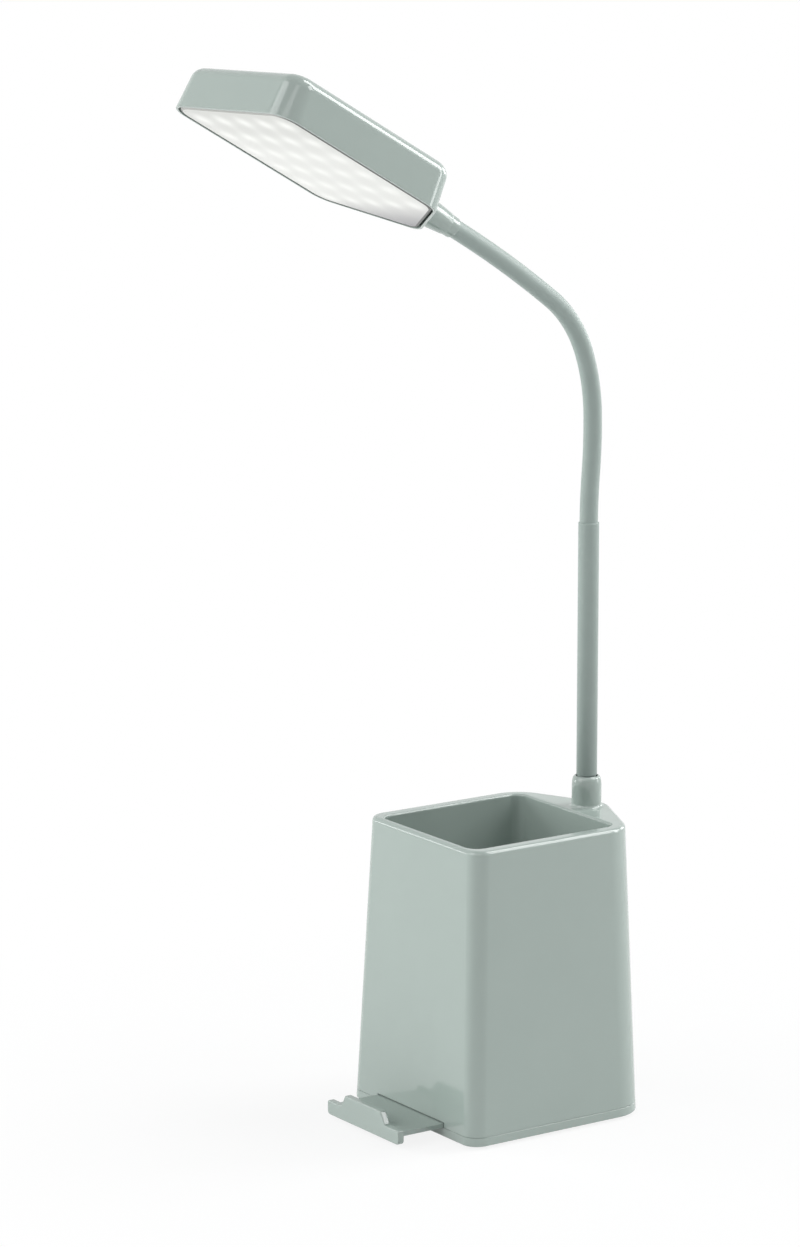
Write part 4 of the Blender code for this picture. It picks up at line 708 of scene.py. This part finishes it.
# %% The back wall's own frame
# The socket and the button sit in the left rear wall, so their cuts are made in its frame:
# X along the wall, Y out of it, Z up.
BOARD_TOP = 12.4 * MM
wall_plan = base_plan(BOARD_TOP)
wall_start, wall_end = Vector(wall_plan[3][:2]), Vector(wall_plan[2][:2])
wall_along = (wall_end - wall_start).normalized()
wall_middle = (wall_start + wall_end) / 2
wall_turn = math.atan2(wall_along.y, wall_along.x)
WALL = Matrix.Translation((wall_middle.x, wall_middle.y, 0)) @ Matrix.Rotation(wall_turn, 4, "Z")
OUTWARD = Matrix.Rotation(-math.pi / 2, 4, "X")
BUTTON_X, PORT_X = 6.2 * MM, -6 * MM
BUTTON_Z = BOARD_TOP + SEAT + 1.8 * MM
PORT_Z = BOARD_TOP + SEAT + 1.6 * MM
BUTTON_PLACE = WALL @ Matrix.Translation((BUTTON_X, 0, BUTTON_Z)) @ OUTWARD
PORT_PLACE = WALL @ Matrix.Translation((PORT_X, 0, PORT_Z)) @ OUTWARD
print("The wall runs at", round(math.degrees(wall_turn), 1), "degrees")

# %% Put the base together
POST_X, POST_FRONT, POST_REAR = 31.5 * MM, -33.5 * MM, 31.5 * MM
POSTS = [(x, y) for y in (POST_FRONT, POST_REAR) for x in (POST_X, -POST_X)]
POST_R, PILOT_R, PILOT_TOP = 3.2 * MM, 1.6 * MM, 14 * MM
SHELL_FOOT = PARTING + SEAT
RIM_R, BREAK = 1.8 * MM, 0.12 * MM
CEILING = 96 * MM
POCKET_X, POCKET_GAP = 28 * MM, 0.5 * MM
SLEEVE_SEAT_R, STEM_HOLE_R = 4.6 * MM, 3.8 * MM
TRAY_FRONT = -66.9 * MM
NOTCH_X, NOTCH_REAR, NOTCH_TOP = 24 * MM, -36.3 * MM, 7 * MM
PORT_HALF_X, PORT_HALF_Z, PORT_CORNER = 4.85 * MM, 2.0 * MM, 1.8 * MM
BUTTON_HOLE_R, WALL_REACH = 4.4 * MM, 4.2 * MM


def between(ring, wall, low, high):
    """Sections of a block that follows one rule for its rings from low to high."""
    return [(ring(height, wall), height) for height in (low, high)]


def pocket_sections():
    """The hollow behind the cup, where the stem's nut is reached."""
    front = CUP_HALF[1] + CUP_WALL + POCKET_GAP
    sections = []
    for height in (CEILING - OVER, DECK - ROOF):
        plan = base_plan(height, BASE_WALL + POCKET_GAP)
        slope = (plan[2][1] - plan[1][1]) / plan[1][0]
        side_y = plan[2][1] - slope * POCKET_X
        outline = [
            (POCKET_X, front, LEAST_RADIUS), (POCKET_X, side_y, 1.5 * MM), (0, plan[2][1], 5 * MM),
            (-POCKET_X, side_y, 1.5 * MM), (-POCKET_X, front, LEAST_RADIUS),
        ]
        sections.append((rounded(outline, steps=8), height))
    return sections


def make_base():
    sections = [(base_ring(SHELL_FOOT, BREAK), SHELL_FOOT)]
    sections.append((base_ring(SHELL_FOOT + BREAK), SHELL_FOOT + BREAK))
    sections += top_edge(base_ring, DECK, RIM_R, 10)
    base = block("base_body", sections, sage)
    low = SHELL_FOOT - OVER
    cut(base, block("cavity", between(base_ring, BASE_WALL, low, CEILING)))
    cut(base, block("pocket", pocket_sections()))
    join(base, boss())
    tub_low, tub_high = CUP_FLOOR - CUP_WALL, DECK - RIM_R - OVER
    join(base, block("tub", between(cup_ring, CUP_WALL, tub_low, tub_high)))
    post_low, post_high = SHELL_FOOT + 0.3 * MM, CUP_FLOOR - CUP_WALL / 2
    for place in POSTS:
        join(base, rod("post", POST_R, post_low, post_high, place, steps=24))
    cut(base, cup_hollow())
    neck_xy = (0, NECK_Y)
    cut(base, rod("sleeve seat", SLEEVE_SEAT_R, DECK, BOSS_TOP + OVER, neck_xy, steps=60))
    cut(base, rod("stem hole", STEM_HOLE_R, DECK - 2 * ROOF, DECK + OVER, neck_xy, steps=56))
    cut(base, brick("tray notch", (-NOTCH_X, TRAY_FRONT, low), (NOTCH_X, NOTCH_REAR, NOTCH_TOP)))
    for place in POSTS:
        cut(base, rod("pilot", PILOT_R, low, PILOT_TOP, place, steps=20))
    port = rounded(rectangle(PORT_HALF_X, PORT_HALF_Z, PORT_CORNER), steps=12)
    cut(base, block("port", [(port, -WALL_REACH), (port, WALL_REACH)], place=PORT_PLACE))
    hole = rod("button hole", BUTTON_HOLE_R, -WALL_REACH, WALL_REACH, place=BUTTON_PLACE, steps=64)
    cut(base, hole)
    return smooth(base)


base_body = make_base()
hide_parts("base_shell")
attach(base_body, "base")
print("Faces in the base:", len(base_body.data.polygons))

# %% [markdown]
# The cover closes the base from below. Its rim carries the thin parting line that runs round
# the foot, with both edges slightly broken, which is what makes such a line catch the light.

# %% The bottom cover
COVER_EDGE, PAD_INSET, PAD_SEAT = 0.7 * MM, 8 * MM, FOOT + 0.6 * MM
INNER_FLOOR, INNER_LOW, PAST_TOP = 3 * MM, 2.5 * MM, 7 * MM
RUNNER_X, RUNNER_FRONT, RUNNER_REAR = 15 * MM, -38.5 * MM, 10.5 * MM
HEAD_SEAT_R, HEAD_SEAT_TOP = 2.7 * MM, 3.1 * MM


def make_cover():
    sections = foot_edge(base_ring, FOOT, COVER_EDGE, 6)
    line = SHELL_FOOT - 0.1 * MM
    sections.append((base_ring(line - BREAK), line - BREAK))
    sections.append((base_ring(line, BREAK), line))
    cover = block("foot_cover", sections, sage)
    cut(cover, block("cover hollow", between(base_ring, BASE_WALL, INNER_FLOOR, PAST_TOP)))
    pad = base_ring(0, PAD_INSET)
    cut(cover, block("pad recess", [(pad, -OVER), (pad, PAD_SEAT)]))
    for place in POSTS:
        join(cover, rod("cover boss", POST_R, INNER_LOW, PARTING, place, steps=32))
    for x in (-RUNNER_X, RUNNER_X):
        low, high = (x - MM, RUNNER_FRONT, INNER_LOW), (x + MM, RUNNER_REAR, PARTING)
        join(cover, brick("runner", low, high))
    for place in POSTS:
        cut(cover, rod("head seat", HEAD_SEAT_R, -OVER, HEAD_SEAT_TOP, place, steps=32))
        cut(cover, rod("shank hole", PILOT_R, -OVER, PAST_TOP, place, steps=24))
    return smooth(cover)


foot_cover = make_cover()
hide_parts("bottom_cover")
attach(foot_cover, "base")
print("Faces in the cover:", len(foot_cover.data.polygons))

# %% [markdown]
# ## Screws, made once and placed four times
#
# The cover's four screws are the same piece. A Geometry Nodes tree makes one screw with a flat
# head, cuts the cross into it, and puts it on every point it is given.

# %% A small wrapper for Geometry Nodes


class Tree:
    """A Geometry Nodes group with named inputs, ending in realised, finished geometry."""

    def __init__(self, name, inputs):
        self.group = bpy.data.node_groups.new(name, "GeometryNodeTree")
        face = self.group.interface
        face.new_socket("Geometry", in_out="INPUT", socket_type="NodeSocketGeometry")
        for label, (kind, default) in inputs.items():
            socket = face.new_socket(label, in_out="INPUT", socket_type=kind)
            if default is not None:
                socket.default_value = default
        face.new_socket("Geometry", in_out="OUTPUT", socket_type="NodeSocketGeometry")
        self.start = self.group.nodes.new("NodeGroupInput")
        self.end = self.group.nodes.new("NodeGroupOutput")

    def get(self, label):
        return self.start.outputs[label]

    def node(self, kind, values, **settings):
        """Adds a node and returns its output; values are sockets or plain defaults."""
        made = self.group.nodes.new(kind)
        for key, setting in settings.items():
            setattr(made, key, setting)
        for key, value in values.items():
            if isinstance(value, bpy.types.NodeSocket):
                self.group.links.new(value, made.inputs[key])
            else:
                made.inputs[key].default_value = value
        return made.outputs[0]

    def times(self, first, second):
        return self.node("ShaderNodeMath", {0: first, 1: second}, operation="MULTIPLY")

    def vector(self, x=0.0, y=0.0, z=0.0):
        return self.node("ShaderNodeCombineXYZ", {0: x, 1: y, 2: z})

    def lifted(self, geometry, height):
        values = {"Geometry": geometry, "Translation": self.vector(z=height)}
        return self.node("GeometryNodeTransform", values)

    def boolean(self, operation, tools, body=None):
        """Joins the tools, or takes them from a body."""
        made = self.group.nodes.new("GeometryNodeMeshBoolean")
        made.operation = operation
        if body is not None:
            self.group.links.new(body, made.inputs["Mesh 1"])
        for tool in tools:
            self.group.links.new(tool, made.inputs["Mesh 2"])
        return made.outputs["Mesh"]

    def finish(self, geometry):
        """Realises, smooths and dresses the result."""
        real = self.node("GeometryNodeRealizeInstances", {"Geometry": geometry})
        soft = self.node("GeometryNodeSetShadeSmooth", {"Geometry": real})
        values = {"Geometry": soft, "Material": self.get("Material")}
        dressed = self.node("GeometryNodeSetMaterial", values)
        self.group.links.new(dressed, self.end.inputs["Geometry"])

    def identifiers(self):
        items = self.group.interface.items_tree
        return {item.name: item.identifier for item in items if item.in_out == "INPUT"}


def grow(name, mesh, tree, sizes, angle=SHARP_ANGLE):
    """Runs a tree on a mesh of points or lines and keeps the result as a plain mesh."""
    piece = bpy.data.objects.new(name, mesh)
    scene.collection.objects.link(piece)
    step = piece.modifiers.new(tree.group.name, "NODES")
    step.node_group = tree.group
    names = tree.identifiers()
    for label, value in sizes.items():
        step[names[label]] = value
    apply_modifiers(piece)
    # The result can have an empty material slot before the one that the tree fills.
    while None in piece.data.materials[:]:
        piece.data.materials.pop(index=piece.data.materials[:].index(None))
    piece.data.set_sharp_from_angle(angle=math.radians(angle))
    return piece


print("Geometry Nodes wrapper ready")

# %% The screw tree


def screw_tree():
    tree = Tree("screws on points", {
        "Head radius": ("NodeSocketFloat", 2.4 * MM),
        "Head height": ("NodeSocketFloat", 1.2 * MM),
        "Shank radius": ("NodeSocketFloat", 1.3 * MM),
        "Shank length": ("NodeSocketFloat", 9.8 * MM),
        "Slot width": ("NodeSocketFloat", 0.7 * MM),
        "Material": ("NodeSocketMaterial", None),
    })
    head_r, head_h = tree.get("Head radius"), tree.get("Head height")
    shank_r, shank_l = tree.get("Shank radius"), tree.get("Shank length")
    cylinder = "GeometryNodeMeshCylinder"
    head = tree.node(cylinder, {"Vertices": 32, "Radius": head_r, "Depth": head_h})
    head = tree.lifted(head, tree.times(head_h, 0.5))
    shank = tree.node(cylinder, {"Vertices": 20, "Radius": shank_r, "Depth": shank_l})
    middle = {0: tree.times(shank_l, 0.5), 1: tree.times(head_h, 0.9)}
    shank = tree.lifted(shank, tree.node("ShaderNodeMath", middle, operation="ADD"))
    whole = tree.boolean("UNION", (head, shank))
    # One bar of the cross is a little less deep, so that no two of its faces lie in one plane.
    long, short = tree.times(head_r, 1.3), tree.get("Slot width")
    deep, less_deep = tree.times(head_h, 1.1), tree.times(head_h, 1.04)
    sizes = (tree.vector(long, short, deep), tree.vector(short, long, less_deep))
    bars = [tree.node("GeometryNodeMeshCube", {"Size": size}) for size in sizes]
    crossed = tree.boolean("DIFFERENCE", bars, whole)
    placed = {"Points": tree.get("Geometry"), "Instance": crossed}
    tree.finish(tree.node("GeometryNodeInstanceOnPoints", placed))
    return tree


def points_mesh(name, places):
    mesh = bpy.data.meshes.new(name)
    mesh.from_pydata(places, [], [])
    return mesh


screws = screw_tree()
screw_places = [(x, y, PAD_SEAT) for x, y in POSTS]
cover_screws = grow("cover_screws", points_mesh("cover_screws", screw_places), screws,
                    {"Material": finishes["steel"]})
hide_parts("cover_screw_1", "cover_screw_2", "cover_screw_3", "cover_screw_4")
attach(cover_screws, "base")
print("Faces in four screws:", len(cover_screws.data.polygons))

# %% [markdown]
# ## The tray
#
# A thin floor slides in the foot, and its front carries a stepped lip: low shoulders at the
# sides and a raised tab with sloping ends that holds back what stands on the tray. All edges of
# the lip are softly rounded, and its lower corners more so.

# %% Make the tray


def round_path(points, steps=6):
    """A closed outline whose (x, z, radius) corners may turn either way."""
    result = []
    for index, (x, z, radius) in enumerate(points):
        here = Vector((x, z))
        before = Vector(points[index - 1][:2]) - here
        after = Vector(points[(index + 1) % len(points)][:2]) - here
        reach = radius / math.tan(before.angle(after) / 2)
        start = here + before.normalized() * reach
        end = here + after.normalized() * reach
        for step in range(steps + 1):
            share = step / steps
            curve = start * (1 - share) ** 2 + here * 2 * share * (1 - share) + end * share ** 2
            result.append(tuple(curve))
    return result


def make_tray():
    half, bottom, shoulder, tab = 25.75 * MM, 2.0 * MM, 8.0 * MM, 13.1 * MM
    tab_foot, tab_top = 15.8 * MM, 12.8 * MM
    thick, low_r, high_r = 3 * MM, 2.0 * MM, 1.1 * MM
    outline = round_path([
        (half, bottom, low_r), (half, shoulder, high_r), (tab_foot, shoulder, high_r),
        (tab_top, tab, high_r), (-tab_top, tab, high_r), (-tab_foot, shoulder, high_r),
        (-half, shoulder, high_r), (-half, bottom, low_r),
    ])
    bm = bmesh.new()
    face = bm.faces.new([bm.verts.new((x, TRAY_FRONT, z)) for x, z in outline])
    pushed = bmesh.ops.extrude_face_region(bm, geom=[face])
    verts = [item for item in pushed["geom"] if isinstance(item, bmesh.types.BMVert)]
    bmesh.ops.translate(bm, verts=verts, vec=(0, thick, 0))
    tray = new_piece("tray", bm, sage)
    bevel = tray.modifiers.new("soft edges", "BEVEL")
    bevel.width = 0.55 * MM
    bevel.segments = 4
    bevel.limit_method = "ANGLE"
    bevel.angle_limit = math.radians(50)
    apply_modifiers(tray)
    floor_x, ear_x, low, high = 23.6 * MM, 25.9 * MM, 4.8 * MM, 6.6 * MM
    inside, rear = TRAY_FRONT + thick / 2, TRAY_FRONT + 52.5 * MM
    join(tray, brick("tray floor", (-floor_x, inside, low), (floor_x, rear, high)))
    join(tray, brick("tray ears", (-ear_x, rear - 4 * MM, low), (ear_x, rear, high)))
    return smooth(tray, 28)


tray = make_tray()
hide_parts("phone_tray")
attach(tray, "tray")
print("Faces in the tray:", len(tray.data.polygons))

# %% [markdown]
# ## The button
#
# A round cap with a shallow dish for a fingertip. It rides on its own body, so it can be
# pressed into the wall.

# %% Make the button


def make_button():
    cap_r, flange_r, proud, edge = 4 * MM, 4.7 * MM, 1.2 * MM, 0.6 * MM
    flange_low, flange_high, stem_r, tip = -3.3 * MM, -2.5 * MM, 1.2 * MM, -3.6 * MM
    dish = 0.3 * MM
    profile = [(0, proud - dish)]
    for step in range(1, 9):
        share = step / 8
        profile.append(((cap_r - edge) * share, proud - dish * (1 - share ** 2)))
    for rise, draw in reversed(list(quarter(6))):
        profile.append((cap_r - edge * draw, proud - edge + edge * rise))
    profile += [(cap_r, flange_high), (flange_r, flange_high), (flange_r, flange_low),
                (stem_r, flange_low), (stem_r, tip), (0, tip)]
    return smooth(turned("button_cap", profile, BUTTON_PLACE, sage))


button_cap = make_button()
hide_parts("power_button")
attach(button_cap, "button")
print("Faces in the button:", len(button_cap.data.polygons))

# %% [markdown]
# ## The neck
#
# The neck's middle line is a chain of five arcs. It starts upright on the stem, leans back a
# little and then forward more and more. A rule gives the place and the lean at any length, and
# Geometry Nodes sweeps a circle along it. The neck bends at seven stations. Each piece of its
# skin spans one of them, from half way to the station before to half way to the next.

# %% The line of the neck
STEM_TOP = 241.6 * MM
YAW = math.radians(4)
ARCS = [(20 * MM, -4.9), (25 * MM, 6.4), (26 * MM, 18.9), (30 * MM, 33.75), (60.5 * MM, 6.65)]
NECK_LENGTH = sum(length for length, _ in ARCS)
STATIONS = [(15.0 + 20.5 * index) * MM for index in range(7)]
MIDDLES = [(low + high) / 2 for low, high in zip(STATIONS, STATIONS[1:])]
SKIN_ENDS = [0.0] + MIDDLES + [NECK_LENGTH]
FORWARD = Vector((math.sin(YAW), -math.cos(YAW), 0))
UP = Vector((0, 0, 1))
NECK_ROOT = Vector((0, NECK_Y, 0))


def neck_point(length):
    """Place on the neck's line and its lean from upright, at a length above the stem."""
    forward, height, lean = 0.0, STEM_TOP, 0.0
    for arc, degrees in ARCS:
        if length <= 0:
            break
        part = min(arc, length)
        radius = arc / math.radians(degrees)
        end = lean + math.radians(degrees) * part / arc
        forward += radius * (math.cos(lean) - math.cos(end))
        height += radius * (math.sin(end) - math.sin(lean))
        lean = end
        length -= part
    return NECK_ROOT + FORWARD * forward + UP * height, lean


tip, tip_lean = neck_point(NECK_LENGTH)
print("The neck is", round(NECK_LENGTH / MM), "mm long")
print("It ends", round(math.degrees(tip_lean)), "degrees over")

# %% A tree that sweeps a tube along a line


def tube_tree():
    """Line points carry their own radius, so one tube can have steps and tapered ends."""
    tree = Tree("tube along a line", {
        "Sides": ("NodeSocketInt", 48),
        "Material": ("NodeSocketMaterial", None),
    })
    line = tree.node("GeometryNodeMeshToCurve", {"Mesh": tree.get("Geometry")})
    radius = tree.node("GeometryNodeInputNamedAttribute", {"Name": "tube_radius"}, data_type="FLOAT")
    circle = {"Resolution": tree.get("Sides"), "Radius": 1.0}
    ring = tree.node("GeometryNodeCurvePrimitiveCircle", circle)
    swept = {"Curve": line, "Profile Curve": ring, "Scale": radius, "Fill Caps": True}
    tree.finish(tree.node("GeometryNodeCurveToMesh", swept))
    return tree


def line_mesh(name, samples):
    """A line of (point, radius) samples as a mesh with a radius on every vertex."""
    mesh = bpy.data.meshes.new(name)
    points = [tuple(point) for point, _ in samples]
    mesh.from_pydata(points, [(i, i + 1) for i in range(len(points) - 1)], [])
    radii = mesh.attributes.new("tube_radius", "FLOAT", "POINT")
    radii.data.foreach_set("value", [radius for _, radius in samples])
    return mesh


tubes = tube_tree()
SKIN_R, STEM_R = 3.8 * MM, 4.3 * MM
SKIN_STEPS, BEND_REACH = 36, 8.5 * MM


def skin(index):
    """The skin over station index, from 1 to 7."""
    start, end = SKIN_ENDS[index - 1], SKIN_ENDS[index]
    lengths = [start + (end - start) * step / SKIN_STEPS for step in range(SKIN_STEPS + 1)]
    samples = [(neck_point(length)[0], SKIN_R) for length in lengths]
    name = "neck_skin_" + str(index)
    return grow(name, line_mesh(name, samples), tubes, {"Sides": 48, "Material": silicone}, SOFT_ANGLE)


for index, station in enumerate(STATIONS, start=1):
    piece = skin(index)
    nodes = ["neck_sleeve_" + str(index)]
    if index == 1:
        nodes.append("neck_sleeve_0")
    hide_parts(*nodes)
    start, _ = neck_point(station - BEND_REACH)
    end, _ = neck_point(station + BEND_REACH)
    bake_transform(piece)
print("Skin pieces:", len(STATIONS), "each turning over", round(2 * BEND_REACH / MM), "mm")

# %% The sleeve on the stem
stem_low, stem_high, roll = DECK + 2.2 * MM, STEM_TOP, 0.35 * MM
groove, groove_r = BOSS_TOP + 0.4 * MM, STEM_R - 0.45 * MM
stem_profile = [
    (stem_low, groove_r),
    (groove, groove_r),
    (groove + 0.05 * MM, STEM_R - 0.08 * MM),
    (groove + 0.15 * MM, STEM_R),
    (stem_high - 3 * roll, STEM_R),
    (stem_high - roll, STEM_R),
    (stem_high - 0.4 * roll, STEM_R - 0.25 * roll),
    (stem_high, STEM_R - roll),
    (stem_high + 0.1 * roll, SKIN_R),
]
stem_samples = [((0, NECK_Y, height), radius) for height, radius in stem_profile]
stem_cover = grow("stem_cover", line_mesh("stem_cover", stem_samples), tubes,
                  {"Sides": 64, "Material": silicone}, SOFT_ANGLE)
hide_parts("stem_sleeve")
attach(stem_cover, "base")
print("The stem's sleeve is", round((stem_high - stem_low) / MM), "mm long")

# %% [markdown]
# ## The head
#
# The head's frame follows from the neck: its front points along the neck's end, and it is
# rolled a little, as the photograph shows. Everything on the head is made flat, with its point
# at the origin and its front at -Y, and then moved by this one matrix.

# %% The head's frame
COLLAR_LENGTH, AXIS_Z = 14.4 * MM, 8.2 * MM
ROLL = math.radians(1.8)
side = Vector((math.cos(YAW), math.sin(YAW), 0))
head_front = FORWARD * math.sin(tip_lean) + UP * math.cos(tip_lean)
head_up = side.cross(-head_front)
turn = Matrix((side, -head_front, head_up)).transposed().to_4x4()
HEAD = (Matrix.Translation(tip) @ turn @ Matrix.Translation((0, -COLLAR_LENGTH, 0))
        @ Matrix.Rotation(-ROLL, 4, "Y") @ Matrix.Translation((0, 0, -AXIS_Z)))
print("The head's point is at", [round(value / MM, 1) for value in HEAD.translation], "mm")

# %% The housing
HEAD_HALF, HEAD_LENGTH, HEAD_POINT = 36.5 * MM, 85 * MM, 24.4 * MM
HEAD_HEIGHT, HEAD_DRAFT = 18.57 * MM, 1.3 * MM
HEAD_EDGE, HEAD_WALL = 5.0 * MM, 1.8 * MM
REBATE_DEPTH, REBATE_WALL = 3.4 * MM, 1.1 * MM
COLLAR_BORE_R, COLLAR_BORE_END = 4.1 * MM, 17 * MM
HEAD_FRONT = -(HEAD_POINT + HEAD_LENGTH)
HEAD_PLAN = pointed_box(HEAD_HALF, HEAD_FRONT, -HEAD_POINT, 0, 10 * MM, 11 * MM, 7.6 * MM)


def head_ring(height, depth=0.0):
    return rounded(inset(HEAD_PLAN, depth + HEAD_DRAFT * height / HEAD_HEIGHT))


def make_housing():
    lip = 0.25 * MM
    sections = [(head_ring(0, lip), 0)]
    sections.append((head_ring(0.3 * lip, 0.3 * lip), 0.3 * lip))
    sections.append((head_ring(lip), lip))
    sections += top_edge(head_ring, HEAD_HEIGHT, HEAD_EDGE, 12)
    housing = block("head_cover", sections, sage)
    roof, inner = HEAD_HEIGHT - 2 * MM, HEAD_EDGE - HEAD_WALL
    hollow = [(head_ring(0, HEAD_WALL), -OVER)] + top_edge(head_ring, roof, inner, 4, HEAD_WALL)
    cut(housing, block("head hollow", hollow))
    rebate = rounded(inset(HEAD_PLAN, REBATE_WALL))
    cut(housing, block("rebate", [(rebate, -OVER), (rebate, REBATE_DEPTH)]))
    bore_place = Matrix.Translation((0, 0, AXIS_Z)) @ Matrix.Rotation(math.pi / 2, 4, "X")
    cut(housing, rod("collar bore", COLLAR_BORE_R, -OVER, COLLAR_BORE_END, place=bore_place))
    smooth(housing)
    housing.data.transform(HEAD)
    return housing


head_cover = make_housing()
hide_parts("head_housing")
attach(head_cover, "head")
print("Faces in the housing:", len(head_cover.data.polygons))

# %% [markdown]
# ## The diffuser
#
# The diffuser is a white translucent sheet, set in the housing's underside with a fine gap all
# round and crowned very slightly. Thirty light chips behind it, in five columns and six rows,
# show as soft bright spots, and the pointed end beyond them stays greyer, with less glow and a
# sheet colour darkened by painted shade. A painted shade line runs round the sheet's edge for the
# dark gap. The pattern is worked out from each point's place on the head, so it stays on the
# diffuser when the head moves.

# %% The diffuser's finish
CHIP_COLUMNS, CHIP_ROWS = 5, 6
COLUMN_PITCH, ROW_PITCH = 12.9 * MM, 14.1 * MM
CHIP_FIRST = HEAD_FRONT + 11.5 * MM
head_side = HEAD.to_3x3() @ Vector((1, 0, 0))
head_back = HEAD.to_3x3() @ Vector((0, 1, 0))
head_place = HEAD.translation


def lit_diffuser():
    look = Look("lit diffuser")
    across = look.along(head_side, head_place)
    back = look.along(head_back, head_place) - CHIP_FIRST
    column = (across * (2 * math.pi / COLUMN_PITCH)).cosine()
    row = (back * (2 * math.pi / ROW_PITCH)).cosine()
    spot = ((column + row + 2.0) * 0.25) ** 2.2
    width = CHIP_COLUMNS / 2 * COLUMN_PITCH
    inside = 1.0 - across.absolute().smooth(width - 3 * MM, width + 2 * MM)
    inside = inside * (1.0 - back.smooth((CHIP_ROWS - 1) * ROW_PITCH, 5.9 * ROW_PITCH))
    inside = inside * back.smooth(-8 * MM, -4 * MM)
    front = look.mix(back.smooth(-8 * MM, 34 * MM), shade(112, 113, 109), shade(140, 141, 138))
    far = back.smooth(4.6 * ROW_PITCH, 6.9 * ROW_PITCH)
    # Painted shade: along the sheet's edge its colour and its glow go dark, a line that stands for the
    # shadowed gap round the diffuser, weaker at the front.
    painted_edge_shade = look.node("ShaderNodeAttribute", {"attribute_name": "painted_edge_shade"}, {}, "Fac")
    painted_edge_shade = painted_edge_shade.smooth(0.75, 1.0) * (0.3 + 0.7 * back.smooth(-11 * MM, -4 * MM))
    plain = look.mix(far, front, shade(30, 29, 36))
    glow = look.mix(spot * inside, plain, shade(168, 169, 166))
    glow = look.mix(painted_edge_shade, glow, shade(10, 10, 10))
    grain = look.noise(2400.0, 2.0)
    sheet = look.mix(grain, shade(192, 192, 189), shade(188, 188, 185))
    # Painted shade: the sheet's own colour is darker at the pointed end, where no chip lights it from
    # behind.
    sheet = look.mix(far, sheet, shade(150, 149, 151))
    return look.set(
        Base_Color=look.mix(painted_edge_shade, sheet, shade(96, 98, 95)),
        Roughness=0.34 + 0.1 * grain,
        Emission_Color=glow,
        Emission_Strength=1.0,
        Normal=look.bump(grain, 0.02 * MM, 0.4),
    )


diffuser_look = lit_diffuser()
print("Spots:", CHIP_COLUMNS, "by", CHIP_ROWS)

# %% Make the diffuser
CROWN_SHARE = 0.75


def make_diffuser():
    gap, dome, edge = 0.6 * MM, 0.8 * MM, 1.2 * MM
    start = REBATE_WALL + gap
    sections = [(rounded(inset(HEAD_PLAN, start)), REBATE_DEPTH - SEAT)]
    for rise, draw in quarter(8):
        height = (edge - dome * (1 - CROWN_SHARE)) * (1 - rise)
        sections.append((rounded(inset(HEAD_PLAN, start + edge * draw)), height))
    sheet = block("diffuser_sheet", sections[::-1], diffuser_look)
    crown(sheet, dome)
    smooth(sheet, SOFT_ANGLE)
    sheet.data.transform(HEAD)
    return sheet


def crown(sheet, dome):
    """Fills the flat face with a finer net and lowers its middle a little."""
    bm = bmesh.new()
    bm.from_mesh(sheet.data)
    painted_edge_shade = bm.verts.layers.float.new("painted_edge_shade")
    bm.faces.ensure_lookup_table()
    lowest = min(bm.faces, key=lambda face: face.calc_center_median().z)
    rim = list(lowest.verts)
    outline = [vert.co.copy() for vert in rim]
    centre = Vector((0, HEAD_FRONT / 2 - 4 * MM, 0))
    bmesh.ops.delete(bm, geom=[lowest], context="FACES_ONLY")
    rings, count = [rim], 14
    shares = [0.985] + [1 - step / count for step in range(1, count)]
    for share in shares:
        ring = []
        for point in outline:
            spot = centre.lerp(point, share)
            spot.z = outline[0].z - dome * (1 - share ** 2) * CROWN_SHARE
            ring.append(bm.verts.new(spot))
        rings.append(ring)
    for outer, inner in zip(rings, rings[1:]):
        for index in range(len(rim)):
            after = (index + 1) % len(rim)
            bm.faces.new((outer[index], outer[after], inner[after], inner[index]))
    hub = bm.verts.new((centre.x, centre.y, outline[0].z - dome * CROWN_SHARE))
    for index in range(len(rim)):
        bm.faces.new((rings[-1][index], rings[-1][(index + 1) % len(rim)], hub))
    # The edge rounding and the first ring carry the mask for the painted shade line at the edge.
    for vert in bm.verts:
        vert[painted_edge_shade] = 1.0
    for vert in [hub] + [vert for ring in rings[1:] for vert in ring]:
        vert[painted_edge_shade] = 0.0
    bmesh.ops.recalc_face_normals(bm, faces=bm.faces)
    bm.to_mesh(sheet.data)
    bm.free()


diffuser_sheet = make_diffuser()
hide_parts("diffuser")
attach(diffuser_sheet, "head")
print("Faces in the diffuser:", len(diffuser_sheet.data.polygons))

# %% [markdown]
# The collar between head and neck is a cone that ends in a slightly thinner ring, with a small
# step between them and a rounded end that the neck comes out of.

# %% The head's collar


def make_collar():
    root_r, waist_r, ring_r = 5.5 * MM, 4.75 * MM, 4.4 * MM
    bore, inner_end = SKIN_R - 0.1 * MM, -4.2 * MM
    profile = [
        (bore, 13.9 * MM),
        (bore + 0.15 * MM, 14.3 * MM),
        (bore + 0.35 * MM, 14.38 * MM),
        (ring_r - 0.15 * MM, 14.2 * MM),
        (ring_r, 13.8 * MM),
        (ring_r, 10.25 * MM),
        (ring_r + 0.05 * MM, 10.1 * MM),
        (waist_r - 0.12 * MM, 9.98 * MM),
        (waist_r - 0.02 * MM, 9.8 * MM),
        (waist_r + 0.02 * MM, 9.4 * MM),
        (root_r, 2.5 * MM),
        (root_r, inner_end),
        (bore, inner_end),
    ]
    place = HEAD @ Matrix.Translation((0, 0, AXIS_Z)) @ OUTWARD
    return smooth(turned("collar", profile, place, sage))


collar = make_collar()
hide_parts("head_collar")
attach(collar, "head")
print("Faces in the collar:", len(collar.data.polygons))
